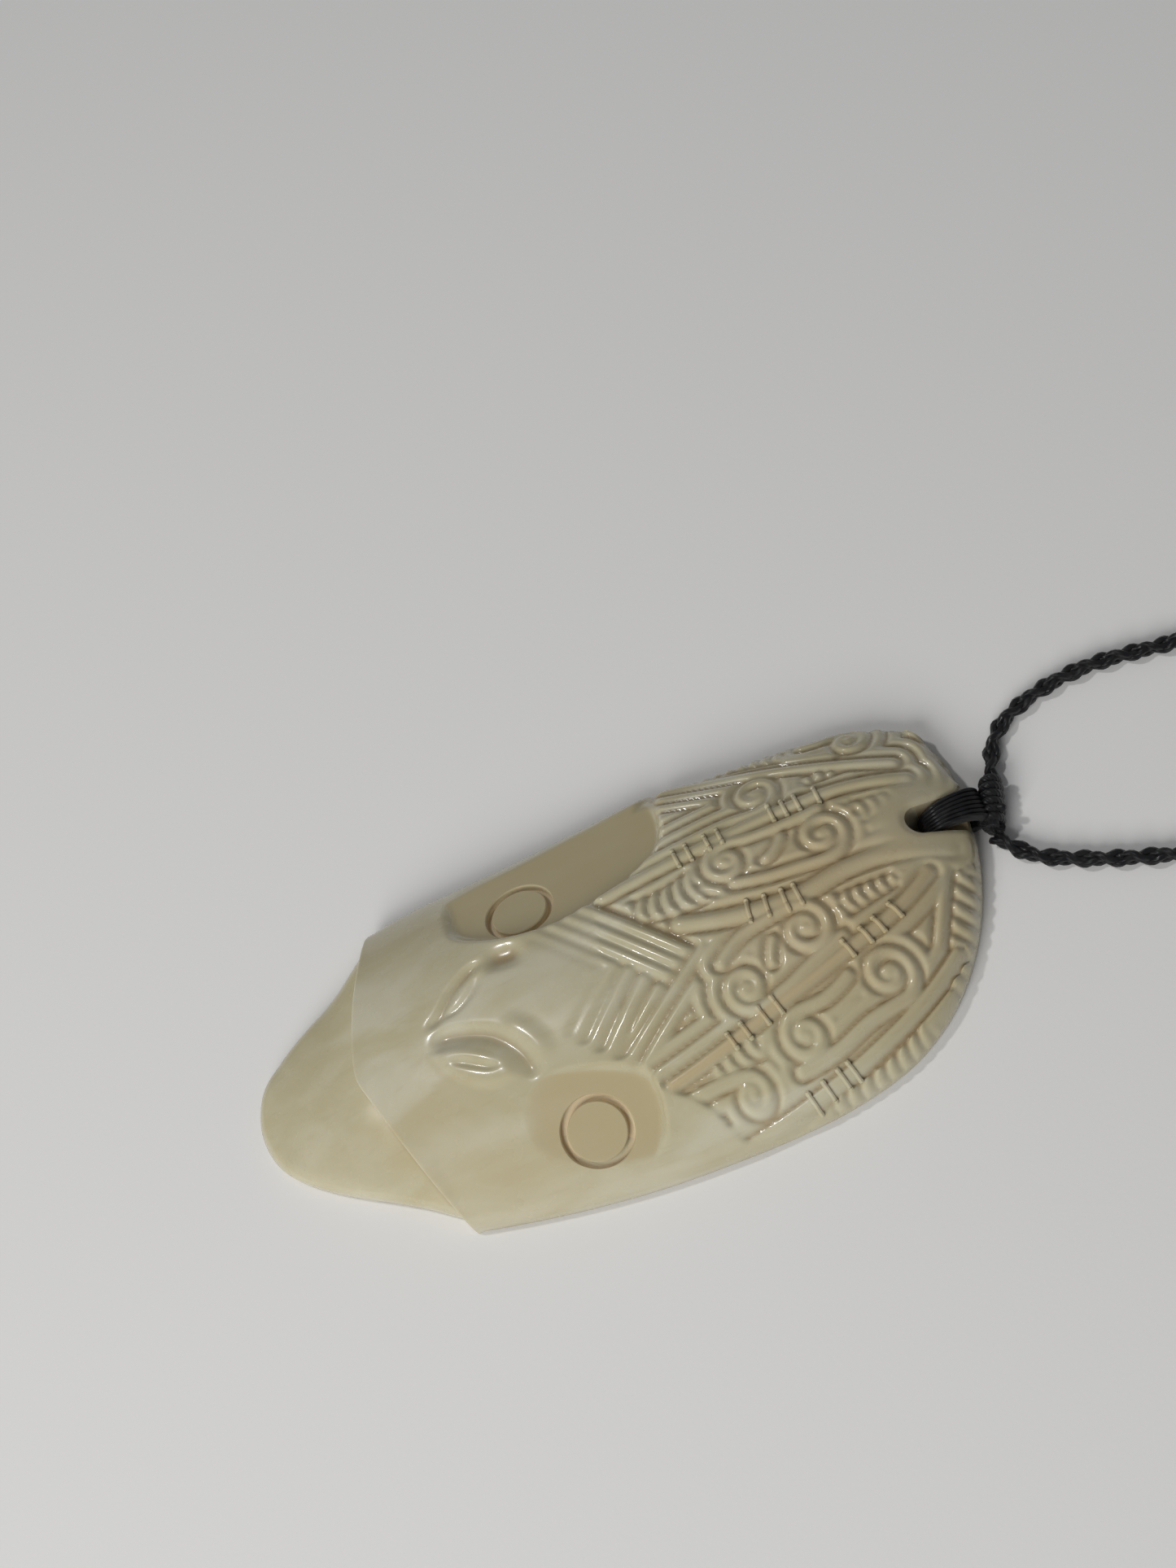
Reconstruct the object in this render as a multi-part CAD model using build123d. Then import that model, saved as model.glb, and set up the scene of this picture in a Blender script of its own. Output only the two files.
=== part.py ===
from build123d import *
import math
import os
from collections import namedtuple

import numpy as np

# A carved bone face on a plaited cord. The face lies on its flat back: +Z out of the face, +Y from the
# chin to the crown, +X to the right of a person who looks at it. The origin is the middle of the back.
# Millimetres and degrees throughout.

# The bone face
face_length = 90.0          # chin to crown
face_width = 45.5           # across the widest part of the cheeks and hair
face_rise = 10.0            # how far the top of the brow stands over the rim
rim_height = 2.6            # plain side wall under the dome
rim_rounding = 1.5          # the worn edge between the dome and the side wall
flank_fall = 0.82           # share of the fall that the dome has made before its rim
tongue_rise = 4.6           # how far the tongue stands over the rim just under the lip

# The carving
carving_depth = 0.9         # valleys of the hair below the polished dome
carving_edge = 0.9          # over which the hair carving fades into the plain dome
rib_width = 1.0             # half the foot of a long rib
ridge_width = 0.88          # half the foot of a spiral's ridge
echo_pitch = 1.7            # from ridge to ridge, where ridges echo the nearest line
spiral_radius = 2.9         # from the bulb's middle to where the line leaves
bulb_radius = 1.1
crescent_reach = 1.8
crescent_pitch = 1.6
plain_round_slot = 3.4      # smooth bone round the hole, past which the carving starts
slot_softness = 4.2         # over which it grows to its full depth there
brow_bar_pitch = 1.65
brow_bar_count = 4
brow_bar_width = 0.86       # half the foot of a bar
brow_bar_end = 0.8          # over which a bar ends
brow_overhang = 3.2         # how far the left bars run on past the upper edge's left corner
brow_depth = 0.65
brow_trench = 0.7           # along the brow's upper edge, where the hair starts
nostril_depth = 0.5
nostril_width = 1.0         # half the width of a nostril's line
lid_rise = 0.3
lid_edge = 1.2

# The drilled eyes
eye_ring_radius = 4.1       # outside of the drilled ring
eye_ring_width = 0.75
eye_ring_depth = 0.9
socket_corner = 1.6

# The cord and its way through the crown
cord_diameter = 2.2
slot_mouth_width = 5.2
hole_radius = 1.75
hole_to_crown = 5.6         # from the middle of the hole to the crown's edge
bridge_thickness = 1.4      # bone left between the front slot and the recess in the back
loop_thickness = 1.5        # the flattened lashing that lies in slot, hole and recess
loop_width = 2.8
running_gap = 0.15
loop_bend = 0.2             # inside bend of the lashing at the bridge's corners
knot_length = 6.8
knot_thickness = 2.9
knot_height = 4.2
knot_rounding = 1.1
knot_turn = -22.0           # the knot lies along the sloping crown
knot_to_crown = 2.5         # from the knot's middle to the crown's edge
clasp_length = 14.0
clasp_radius = 1.9
clasp_chamfer = 0.3

# Stations of the front surface, closer together where it is carved
plain_step = 1.5
carved_step = 0.5
below = 5.0                 # how far the blocks reach below the back, to which they are cut
side_spare = 2.0            # and how far beyond the outline

half_length = face_length / 2
half_width = face_width / 2
cord_radius = cord_diameter / 2
over_all = rim_height + 2 * face_rise            # a cut through everything

# The outline, a row for each width: along is the share of the length from the chin, right and left are
# shares of half the width. The jaw corners stand at the rows where the tongue ends.
OutlineRow = namedtuple("OutlineRow", "along right left")
TONGUE = [
    OutlineRow(0.000, -0.180, -0.180),
    OutlineRow(0.010, 0.010, -0.360),
    OutlineRow(0.055, 0.210, -0.520),
    OutlineRow(0.100, 0.340, -0.620),
    OutlineRow(0.145, 0.455, -0.700),
    OutlineRow(0.190, 0.585, -0.830),
    OutlineRow(0.222, 0.690, -0.920),
    OutlineRow(0.262, 0.720, -0.930),        # its end, hidden under the face
]
FACE = [
    OutlineRow(0.222, 0.750, -0.965),
    OutlineRow(0.280, 0.812, -0.985),
    OutlineRow(0.370, 0.893, -0.985),
    OutlineRow(0.460, 0.952, -0.985),
    OutlineRow(0.550, 0.985, -0.995),
    OutlineRow(0.640, 1.000, -1.000),
    OutlineRow(0.720, 0.985, -0.950),
    OutlineRow(0.810, 0.900, -0.910),
    OutlineRow(0.870, 0.760, -0.875),
    OutlineRow(0.920, 0.560, -0.820),
    OutlineRow(0.960, 0.310, -0.735),
    OutlineRow(0.988, 0.010, -0.600),
    OutlineRow(1.000, -0.270, -0.270),
]

# The dome's highest line: ridge is its place across, in shares of half the width, and rise its height
# over the rim, in shares of face_rise.
DomeRow = namedtuple("DomeRow", "along ridge rise")
DOME = [
    DomeRow(0.00, -0.17, 0.50),
    DomeRow(0.16, -0.13, 0.62),
    DomeRow(0.22, -0.11, 0.73),
    DomeRow(0.30, -0.08, 0.86),
    DomeRow(0.38, -0.03, 0.96),
    DomeRow(0.50, 0.04, 1.00),
    DomeRow(0.61, 0.07, 1.00),
    DomeRow(0.72, 0.03, 0.94),
    DomeRow(0.83, -0.05, 0.78),
    DomeRow(0.92, -0.12, 0.52),
    DomeRow(1.00, -0.26, 0.14),
]

# The lip, the lower edge of the face over the tongue, from the left jaw to the right
LipRow = namedtuple("LipRow", "along across")
LIP = [
    LipRow(0.222, -0.965),
    LipRow(0.208, -0.760),
    LipRow(0.187, -0.515),
    LipRow(0.169, -0.275),
    LipRow(0.161, -0.110),
    LipRow(0.170, 0.040),
    LipRow(0.181, 0.195),
    LipRow(0.192, 0.350),
    LipRow(0.205, 0.530),
    LipRow(0.222, 0.750),
]

# The long ribs of the hair, which fan out from the cord slot: width is a share of rib_width
RibRow = namedtuple("RibRow", "name width places")
RIBS = [
    RibRow("middle", 1.25,
           [(0.951, 0.053), (0.889, 0.009), (0.822, 0.013), (0.762, 0.057), (0.689, 0.035),
            (0.614, -0.053)]),
    RibRow("left", 1.05,
           [(0.944, -0.378), (0.867, -0.435), (0.778, -0.435), (0.644, -0.409), (0.528, -0.378)]),
    RibRow("far_left", 1.00,
           [(0.939, -0.492), (0.850, -0.624), (0.780, -0.743), (0.711, -0.862), (0.644, -0.980)]),
    RibRow("right", 0.85,
           [(0.917, 0.154), (0.856, 0.295), (0.783, 0.396), (0.682, 0.510), (0.600, 0.589), (0.526, 0.637)]),
    RibRow("far_right", 0.85,
           [(0.906, 0.549), (0.832, 0.734), (0.756, 0.853), (0.667, 0.936), (0.564, 0.985)]),
]

# The spirals between the ribs. Each has its bulb at along and across. Its line leaves at so many degrees
# after so many turns, hand is 1 where it turns to the left, and then it follows its tail.
SpiralRow = namedtuple("SpiralRow", "along across size leaves turns hand tail")
SPIRALS = [
    SpiralRow(0.818, -0.207, 1.00, 0, 1.35, -1,
              [(0.776, -0.084), (0.733, -0.101), (0.696, -0.136)]),
    SpiralRow(0.696, -0.264, 0.83, 180, 1.20, -1,
              [(0.738, -0.352), (0.778, -0.347), (0.828, -0.360)]),
    SpiralRow(0.751, 0.229, 1.00, 180, 1.35, 1,
              [(0.711, 0.110), (0.673, 0.141), (0.640, 0.229)]),
    SpiralRow(0.658, 0.382, 0.83, 0, 1.20, 1,
              [(0.696, 0.457), (0.738, 0.396), (0.789, 0.321)]),
    SpiralRow(0.818, 0.554, 1.03, 0, 1.35, -1,
              [(0.778, 0.716), (0.727, 0.782), (0.673, 0.809)]),
    SpiralRow(0.698, 0.681, 0.86, 180, 1.20, -1,
              [(0.738, 0.558), (0.773, 0.501)]),
    SpiralRow(0.609, 0.818, 0.69, 180, 1.10, 1,
              [(0.573, 0.721), (0.533, 0.730)]),
    SpiralRow(0.762, -0.607, 0.93, 0, 1.30, -1,
              [(0.718, -0.501), (0.656, -0.488), (0.583, -0.466)]),
    SpiralRow(0.900, -0.743, 0.79, 180, 1.20, 1,
              [(0.862, -0.818), (0.840, -0.835)]),
]

# Rows of short crescents along a line: reach and pitch are shares of crescent_reach and crescent_pitch, and
# bow is how far a crescent's ends lie along the row from its middle, in shares of crescent_reach
CrescentRow = namedtuple("CrescentRow", "reach pitch bow places")
CRESCENTS = [
    CrescentRow(1.44, 0.97, 0.56, [(0.653, -0.207), (0.611, -0.193), (0.562, -0.229)]),
    CrescentRow(0.89, 0.87, 0.33, [(0.869, -0.259), (0.916, -0.281)]),
    CrescentRow(0.83, 0.87, -0.33, [(0.802, 0.185), (0.876, 0.141)]),
    CrescentRow(0.94, 0.94, 0.44, [(0.640, 0.624), (0.578, 0.677)]),
    CrescentRow(1.22, 1.19, 0.39, [(0.967, 0.220), (0.929, 0.448), (0.884, 0.703)]),
    CrescentRow(0.94, 1.06, 0.39, [(0.836, 0.853), (0.773, 0.941), (0.689, 0.976)]),
    CrescentRow(0.83, 0.94, 0.39, [(0.818, -0.831), (0.749, -0.923), (0.696, -0.985)]),
    CrescentRow(0.72, 0.87, -0.28, [(0.884, -0.589), (0.824, -0.554)]),
]

# The lower edge of the hair carving, the brow's upper edge, and the bars of its right side
HAIR_BORDER = [(0.649, -1.055), (0.631, -0.576), (0.593, -0.470), (0.522, -0.404), (0.518, -0.396),
               (0.618, 0.084), (0.484, 0.422), (0.517, 0.637), (0.531, 0.690), (0.556, 0.765),
               (0.569, 0.923), (0.593, 1.055)]
BROW_EDGE = [(0.518, -0.396), (0.618, 0.084), (0.484, 0.422)]
RIGHT_BARS = [((0.519, 0.004), (0.438, 0.281)), ((0.534, 0.062), (0.453, 0.338)),
              ((0.548, 0.136), (0.472, 0.396)), ((0.560, 0.215), (0.491, 0.440))]

# The lines of the nose: the left nostril's leaf, the right one's lid, its groove and slit, and the raised
# wing. width and depth are shares of nostril_width and nostril_depth.
NoseRow = namedtuple("NoseRow", "width depth places")
NOSE_LINES = [
    NoseRow(0.70, 1.00, [(0.367, -0.356), (0.341, -0.316), (0.321, -0.273), (0.304, -0.215), (0.291, -0.171),
            (0.271, -0.145)]),
    NoseRow(0.50, 0.60, [(0.360, -0.295), (0.349, -0.237), (0.332, -0.189), (0.313, -0.163),
            (0.293, -0.158)]),
    NoseRow(2.20, 1.10, [(0.369, -0.352), (0.391, -0.316), (0.424, -0.308)]),
    NoseRow(1.50, 0.80, [(0.269, -0.057), (0.294, -0.053), (0.320, -0.013), (0.344, 0.044), (0.364, 0.132),
            (0.376, 0.215), (0.378, 0.290), (0.366, 0.343), (0.344, 0.360)]),
    NoseRow(0.50, 0.56, [(0.284, 0.062), (0.304, 0.114), (0.321, 0.163), (0.336, 0.198), (0.347, 0.207)]),
    NoseRow(1.60, -0.50, [(0.367, 0.018), (0.384, 0.097), (0.397, 0.193), (0.400, 0.290)]),
]
LID = [(0.267, -0.013), (0.293, 0.009), (0.321, 0.066), (0.344, 0.149), (0.358, 0.237), (0.360, 0.295),
       (0.336, 0.295), (0.311, 0.255), (0.289, 0.176), (0.273, 0.079)]

# The eyes: tilt_out leans the socket's flat to its own side, tilt_up leans it towards the crown, and
# corners go round the socket.
SocketRow = namedtuple("SocketRow", "name along across height tilt_out tilt_up corners")
SOCKETS = [
    SocketRow("right", 0.419, 0.660, 7.5, 27.0, -1.0,
              [(0.392, 0.330), (0.500, 0.490), (0.510, 0.610), (0.498, 0.790), (0.455, 0.900),
               (0.385, 0.870), (0.342, 0.680), (0.340, 0.500), (0.352, 0.405)]),
    SocketRow("left", 0.430, -0.575, 8.2, 22.0, 2.0,
              [(0.338, -0.690), (0.342, -0.560), (0.396, -0.430), (0.462, -0.370), (0.512, -0.390),
               (0.590, -0.460), (0.632, -0.590), (0.640, -0.850), (0.600, -1.060), (0.345, -1.060)]),
]


# The cord's way, chosen by hand on the surface that the face lies on. The left cord runs from the knot to
# the lower end of the clasp and the right one to its upper end. The loop lies folded into four lanes.
CORD_LEFT = [(-10.1, 50.3), (-12.6, 53.6), (-13.9, 58.6), (-14.1, 64.0), (-13.2, 69.2), (-11.9, 74.0),
             (-12.0, 79.2), (-14.0, 84.0), (-17.6, 88.2), (-20.6, 92.6), (-22.4, 98.4), (-22.95, 108.0),
             (-23.15, 124.0), (-23.15, 150.0), (-23.05, 171.1), (-22.9, 183.1), (-22.62, 194.9),
             (-18.16, 199.36), (-11.84, 199.36), (-7.38, 194.9), (-7.12, 182.7), (-7.0, 162.1),
             (-7.25, 129.1), (-7.6, 106.1), (-7.69, 92.3), (-7.58, 79.6), (-3.14, 75.16), (3.14, 75.16),
             (7.58, 79.6), (7.72, 92.0), (7.6, 106.0)]
CORD_RIGHT = [(3.9, 47.9), (6.3, 51.2), (9.1, 56.5), (11.5, 62.1), (14.0, 68.4), (17.0, 74.6), (20.2, 81.0),
              (22.2, 88.6), (22.85, 98.0), (23.1, 112.0), (23.15, 134.0), (23.1, 155.0), (22.95, 172.6),
              (22.8, 183.6), (22.6, 194.9), (18.14, 199.36), (11.82, 199.36), (7.36, 194.9),
              (7.25, 183.6), (7.3, 172.6), (7.45, 156.0), (7.6, 146.0)]
CLASP_PLACE = (7.6, 127.0)


def across_mm(share):
    return share * half_width


def along_mm(share):
    return share * face_length - half_length


def place(along, across):
    return Vector(across_mm(across), along_mm(along))


slot_x = across_mm(-0.118)
crown_y = along_mm(0.998)                        # the crown's edge behind the slot
hole_y = crown_y - hole_to_crown
knot_y = crown_y + knot_to_crown
recess_depth = loop_thickness + 2 * running_gap
bridge_top = recess_depth + bridge_thickness
bridge_foot_y = hole_y + math.sqrt(hole_radius ** 2 - (loop_width / 2) ** 2)     # at the lashing's edges


def smooth_line(rows, column, along):
    """A smooth value between the rows of a table, with the slope at a row taken from its neighbours."""
    stations = np.array([row.along for row in rows])
    values = np.array([getattr(row, column) for row in rows])
    slopes = np.gradient(values, stations)
    along = np.clip(along, stations[0], stations[-1])
    low = np.clip(np.searchsorted(stations, along, side="right") - 1, 0, len(rows) - 2)
    span = stations[low + 1] - stations[low]
    t = (along - stations[low]) / span
    return ((1 + 2 * t) * (1 - t) ** 2 * values[low] + t * (1 - t) ** 2 * span * slopes[low]
            + t ** 2 * (3 - 2 * t) * values[low + 1] + t ** 2 * (t - 1) * span * slopes[low + 1])


def smooth_through(points, steps=8):
    """A smooth line through a few places."""
    points = np.asarray(points, float)
    chord = np.concatenate([[0.0], np.cumsum(np.linalg.norm(np.diff(points, axis=0), axis=1))])
    slopes = np.gradient(points, chord, axis=0, edge_order=min(2, len(points) - 1))
    at = np.linspace(0, chord[-1], steps * (len(points) - 1) + 1)
    low = np.clip(np.searchsorted(chord, at, side="right") - 1, 0, len(points) - 2)
    span = (chord[low + 1] - chord[low])[:, None]
    t = (at - chord[low])[:, None] / span
    return ((1 + 2 * t) * (1 - t) ** 2 * points[low] + t * (1 - t) ** 2 * span * slopes[low]
            + t ** 2 * (3 - 2 * t) * points[low + 1] + t ** 2 * (t - 1) * span * slopes[low + 1])


def distance_to(points, x, y):
    """Distance from each place of the grid to a polyline, and how far along the line that is."""
    nearest = np.full(np.shape(x), np.inf)
    along = np.zeros(np.shape(x))
    done = 0.0
    for (ax, ay), (bx, by) in zip(points, points[1:]):
        length = max(math.hypot(bx - ax, by - ay), 1e-9)
        t = np.clip(((x - ax) * (bx - ax) + (y - ay) * (by - ay)) / length ** 2, 0.0, 1.0)
        distance = np.hypot(x - ax - t * (bx - ax), y - ay - t * (by - ay))
        along = np.where(distance < nearest, done + t * length, along)
        nearest = np.minimum(nearest, distance)
        done += length
    return nearest, along


def polyline(places):
    return [(across_mm(across), along_mm(along)) for along, across in places]


def ease(share):
    """0 to 1 with a soft start and end."""
    share = np.clip(share, 0.0, 1.0)
    return share * share * (3 - 2 * share)


def round_top(share):
    """A ridge's profile: 1 on its line, 0 at its foot."""
    return np.maximum(0.0, 1 - share ** 2) ** 0.65


def into_polygon(corners, x, y):
    """The distance into a polygon from its edge, negative outside it."""
    closed = list(corners) + [corners[0]]
    inside = np.zeros(np.shape(x), bool)
    for (ax, ay), (bx, by) in zip(closed, closed[1:]):
        if ay != by:
            inside ^= ((ay > y) != (by > y)) & (x < (bx - ax) * (y - ay) / (by - ay) + ax)
    return np.where(inside, 1.0, -1.0) * distance_to(closed, x, y)[0]


def spiral_line(row):
    """A spiral from its bulb outwards, and on along its tail."""
    turn = np.linspace(0, 1, int(20 * row.turns) + 1)
    angle = math.radians(row.leaves) - row.hand * 2 * math.pi * row.turns * (1 - turn)
    start = bulb_radius / 2
    out = start + (row.size * spiral_radius - start) * turn ** 0.9
    middle = np.array(polyline([(row.along, row.across)])[0])
    coil = middle + out[:, None] * np.stack([np.cos(angle), np.sin(angle)], axis=1)
    return np.concatenate([coil[:-3], smooth_through(np.concatenate([coil[-3:], polyline(row.tail)]))])


def crescents(row, x, y):
    """A row of crescents: their ridges, where they lie, and how far each place is past them."""
    line = smooth_through(polyline(row.places))
    length = np.sum(np.linalg.norm(np.diff(line, axis=0), axis=1))
    distance, along = distance_to(line, x, y)
    reach = row.reach * crescent_reach * (1 - 0.45 * along / length)
    window = np.clip((reach - distance) / (0.9 * ridge_width), 0.0, 1.0)
    bend = row.bow * crescent_reach * (distance / (row.reach * crescent_reach)) ** 2
    phase = (along + bend) / (row.pitch * crescent_pitch)
    ridges = round_top(2 * (phase % 1) - 1) * np.sqrt(1 - (1 - window) ** 2)
    beside = (along > 0) & (along < length)
    past = np.where(beside, np.maximum(distance - reach, 0.0), distance)
    return ridges, (window > 0) & beside, past


def hair_ridges(x, y):
    """The hair's ridges, from 0 in the valleys to 1 on the tops. Echoes of the nearest line fill the rest."""
    edge = distance_to(polyline(BROW_EDGE), x, y)[0]
    beyond = np.maximum(edge - 0.2, 0.0)
    ridges = np.zeros(np.shape(x))
    lines = [(row.width * rib_width, smooth_through(polyline(row.places))) for row in RIBS]
    lines += [(ridge_width, spiral_line(row)) for row in SPIRALS]
    for width, line in lines:
        distance = distance_to(line, x, y)[0]
        ridges = np.maximum(ridges, round_top(distance / width))
        beyond = np.minimum(beyond, distance - width)
    for row in SPIRALS:
        bulb = np.hypot(x - across_mm(row.across), y - along_mm(row.along))
        ridges = np.maximum(ridges, round_top(bulb / bulb_radius))
    for row in CRESCENTS:
        crescent, here, past = crescents(row, x, y)
        here = here & (beyond > 0)
        ridges = np.where(here, crescent, ridges)
        beyond = np.where(here, 0.0, np.minimum(beyond, past))
    echo = 0.9 * round_top(2 * ((beyond / echo_pitch) % 1) - 1)
    ridges = np.where(beyond > 0, np.maximum(ridges, echo), ridges)
    return ridges * ease(edge / brow_trench)


def brow_cut(x, y):
    """How much of its depth is cut away in the brow's chevron, from 0 on the bars to 1 between them."""
    (ax, ay), (bx, by) = polyline(BROW_EDGE[:2])
    length = math.hypot(bx - ax, by - ay)
    run = ((x - ax) * (bx - ax) + (y - ay) * (by - ay)) / length
    below = ((x - ax) * (by - ay) - (y - ay) * (bx - ax)) / length
    left_foot = (brow_bar_count - 1) * brow_bar_pitch
    right_side = below > left_foot
    ridges = np.zeros(np.shape(x))
    for bar in range(brow_bar_count - 1):
        ridges = np.maximum(ridges, round_top((below - (bar + 0.5) * brow_bar_pitch) / brow_bar_width))
    last = np.hypot(below - left_foot - 0.5 * brow_bar_pitch, np.maximum(run - length / 2, 0.0))
    ridges = np.maximum(ridges, round_top(last / brow_bar_width))
    for places in RIGHT_BARS:
        distance = distance_to(polyline(places), x, y)[0]
        ridges = np.maximum(ridges, np.where(right_side, round_top(distance / (1.1 * brow_bar_width)), 0.0))
    (cx, cy), (dx, dy) = polyline(RIGHT_BARS[0])
    bar_length = math.hypot(cx - dx, cy - dy)
    inner = ((x - cx) * (cy - dy) - (y - cy) * (cx - dx)) / bar_length
    down = ((x - cx) * (dx - cx) + (y - cy) * (dy - cy)) / bar_length
    fade_left = 1 - ease((below - left_foot - 0.4 * brow_bar_pitch) / (0.85 * brow_bar_pitch))
    fade_left = fade_left * (1 - ease((-run - brow_overhang) / brow_bar_end))
    fade_right = ease(inner / brow_bar_width + 1.2) * right_side
    fade_right = fade_right * (1 - ease((down - 0.9 * bar_length) / brow_bar_end))
    return (1 - ridges) * np.maximum(fade_left, fade_right)


def dome(x, y):
    """The polished front of the face, without its carving."""
    along = (y + half_length) / face_length
    right = across_mm(smooth_line(FACE, "right", along))
    left = across_mm(smooth_line(FACE, "left", along))
    ridge = across_mm(smooth_line(DOME, "ridge", along))
    rise = face_rise * smooth_line(DOME, "rise", along)
    reach = np.where(x > ridge, right - ridge, ridge - left)
    out = np.clip(np.abs(x - ridge) / np.maximum(reach, 1.0), 0.0, 1.1)
    fall = flank_fall * out ** 2.1 + (1 - flank_fall) * out ** 8
    margin = np.clip((rim_rounding - (1 - out) * reach) / rim_rounding, 0.0, 0.97)
    worn = rim_rounding * (1 - np.sqrt(1 - margin ** 2))
    return rim_height + rise * (1 - fall) - 0.7 * worn


def front(x, y):
    """The carved front of the face."""
    border = np.array(polyline(HAIR_BORDER))
    into_hair = distance_to(border, x, y)[0] * np.where(y > np.interp(x, border[:, 0], border[:, 1]), 1, -1)
    hair = ease(into_hair / carving_edge + 0.35)
    from_slot = ease((np.hypot(x - slot_x, 0.8 * (y - hole_y)) - plain_round_slot) / slot_softness)
    height = dome(x, y)
    height = height - carving_depth * from_slot * hair * (1 - hair_ridges(x, y))
    height = height - brow_depth * (1 - hair) * brow_cut(x, y)
    for row in NOSE_LINES:
        distance = distance_to(smooth_through(polyline(row.places)), x, y)[0]
        height = height - row.depth * nostril_depth * (1 - ease(distance / (row.width * nostril_width)))
    return height + lid_rise * ease(into_polygon(polyline(LID), x, y) / lid_edge + 0.3)


def tongue_top(x, y):
    """The tongue, which runs up under the lip."""
    along = (y + half_length) / face_length
    right = across_mm(smooth_line(TONGUE, "right", along))
    left = across_mm(smooth_line(TONGUE, "left", along))
    middle = (right + left) / 2
    reach = np.maximum((right - left) / 2, 2.0)
    out = np.clip(np.abs(x - middle) / reach, 0.0, 1.15)
    rise = tongue_rise * (1 - np.clip(1 - along / TONGUE[-1].along, 0.0, 1.0) ** 2.2)
    return rim_height - 0.4 + rise * (1 - 0.8 * out ** 2.2) - 0.5 * out ** 6


def surface_block(height_at, first, last, step_at, side_reach, step_across):
    """The solid under a front surface: straight rulings between the stations' smooth sections."""
    columns = int(round(2 * side_reach / step_across)) + 1
    xs = np.linspace(-side_reach, side_reach, columns)
    marks = [i / (columns - 1) for i in range(columns)]
    sections = []
    y = first
    while y <= last:
        heights = height_at(xs, np.full(columns, y))
        top = Edge.make_spline([Vector(x, y, z) for x, z in zip(xs, heights)], parameters=marks)
        low_left, low_right = Vector(xs[0], y, -below), Vector(xs[-1], y, -below)
        sections.append(Wire([top, Edge.make_line(top @ 1, low_right), Edge.make_line(low_right, low_left),
                              Edge.make_line(low_left, top @ 0)]))
        y += step_at(y)
    return Solid.make_loft(sections, ruled=True)


def face_plan():
    """The face seen from the front: round by the right cheek, the crown and the left cheek, and the lip."""
    right = [place(row.along, row.right) for row in FACE]
    left = [place(row.along, row.left) for row in reversed(FACE)]
    return make_face([Spline(right + left[1:]), Spline([place(row.along, row.across) for row in LIP])])


def tongue_plan():
    """The tongue and chin, whose straight upper end lies hidden under the face."""
    left = [place(row.along, row.left) for row in reversed(TONGUE)]
    right = [place(row.along, row.right) for row in TONGUE]
    edge = Spline(left + right[1:])
    return make_face([edge, Line(edge @ 1, edge @ 0)])


def socket_plane(row):
    side = 1 if row.across > 0 else -1
    turn = Rotation(0, side * row.tilt_out, 0) * Rotation(-row.tilt_up, 0, 0)
    return Plane(Location(place(row.along, row.across) + Vector(0, 0, row.height)) * turn)


def socket_cutter(row):
    """The block over the flat of a socket, with its rounded corners."""
    plane = socket_plane(row)
    corners = []
    for along, across in row.corners:
        foot = place(along, across)
        drop = (foot - plane.origin).dot(plane.z_dir) / plane.z_dir.Z
        corners.append(plane.to_local_coords(foot - Vector(0, 0, drop)))
    flat = make_face(Polyline([Vector(c.X, c.Y) for c in corners], close=True))
    flat = fillet(flat.vertices(), socket_corner)
    return plane.location * extrude(flat, face_rise)


def eye_ring(row):
    ring = Circle(eye_ring_radius) - Circle(eye_ring_radius - eye_ring_width)
    return socket_plane(row).location * Pos(0, 0, -eye_ring_depth) * extrude(ring, 2 * eye_ring_depth)


def cord_way():
    """The drilled hole, the slot in front of the bone bridge and the recess behind it."""
    hole = Pos(slot_x, hole_y, 0) * extrude(Circle(hole_radius), over_all)
    past = half_length + loop_thickness
    mouth = slot_mouth_width / 2
    front_slot = make_face(Polyline((slot_x - hole_radius, hole_y), (slot_x + hole_radius, hole_y),
                                    (slot_x + mouth, past), (slot_x - mouth, past), close=True))
    back_slot = Pos(slot_x, (hole_y + past) / 2) * Rectangle(2 * hole_radius, past - hole_y)
    return [hole, Pos(0, 0, bridge_top) * extrude(front_slot, over_all), extrude(back_slot, recess_depth)]


def bone_face():
    """One piece of bone, carved in front and flat behind."""
    reach = half_width + side_spare
    lip_y = along_mm(min(row.along for row in LIP))
    brow_y = along_mm(min(row.along for row in SOCKETS))
    face = surface_block(front, lip_y - plain_step, half_length + side_spare,
                         lambda y: plain_step if y < brow_y else carved_step, reach, carved_step)
    tongue = surface_block(tongue_top, -half_length - side_spare, along_mm(TONGUE[-1].along) + plain_step,
                           lambda y: plain_step, reach, plain_step)
    bone = (extrude(face_plan(), over_all) & face) + (extrude(tongue_plan(), over_all) & tongue)
    for row in SOCKETS:
        bone = bone - socket_cutter(row) - eye_ring(row)
    for cut in cord_way():
        bone = bone - cut
    return bone


def cord_loop():
    """The lashing round the bone bridge: down the hole, along the recess, round the crown and back."""
    inner_length = crown_y - bridge_foot_y + 2 * running_gap
    inner_height = bridge_thickness + 2 * running_gap
    middle = Vector(slot_x, (crown_y + bridge_foot_y) / 2, recess_depth + bridge_thickness / 2)
    band = RectangleRounded(inner_length + 2 * loop_thickness, inner_height + 2 * loop_thickness,
                            loop_bend + loop_thickness)
    band = band - RectangleRounded(inner_length, inner_height, loop_bend)
    side = Plane(origin=middle, x_dir=(0, 1, 0), z_dir=(1, 0, 0))
    return side.location * extrude(band, loop_width / 2, both=True)


def knot_end(side):
    """The middle of the knot's left (-1) or right (1) end, at the height of the cord."""
    turn = math.radians(knot_turn)
    reach = side * knot_length / 2
    return Vector(slot_x + reach * math.cos(turn), knot_y + reach * math.sin(turn), cord_radius)


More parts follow.
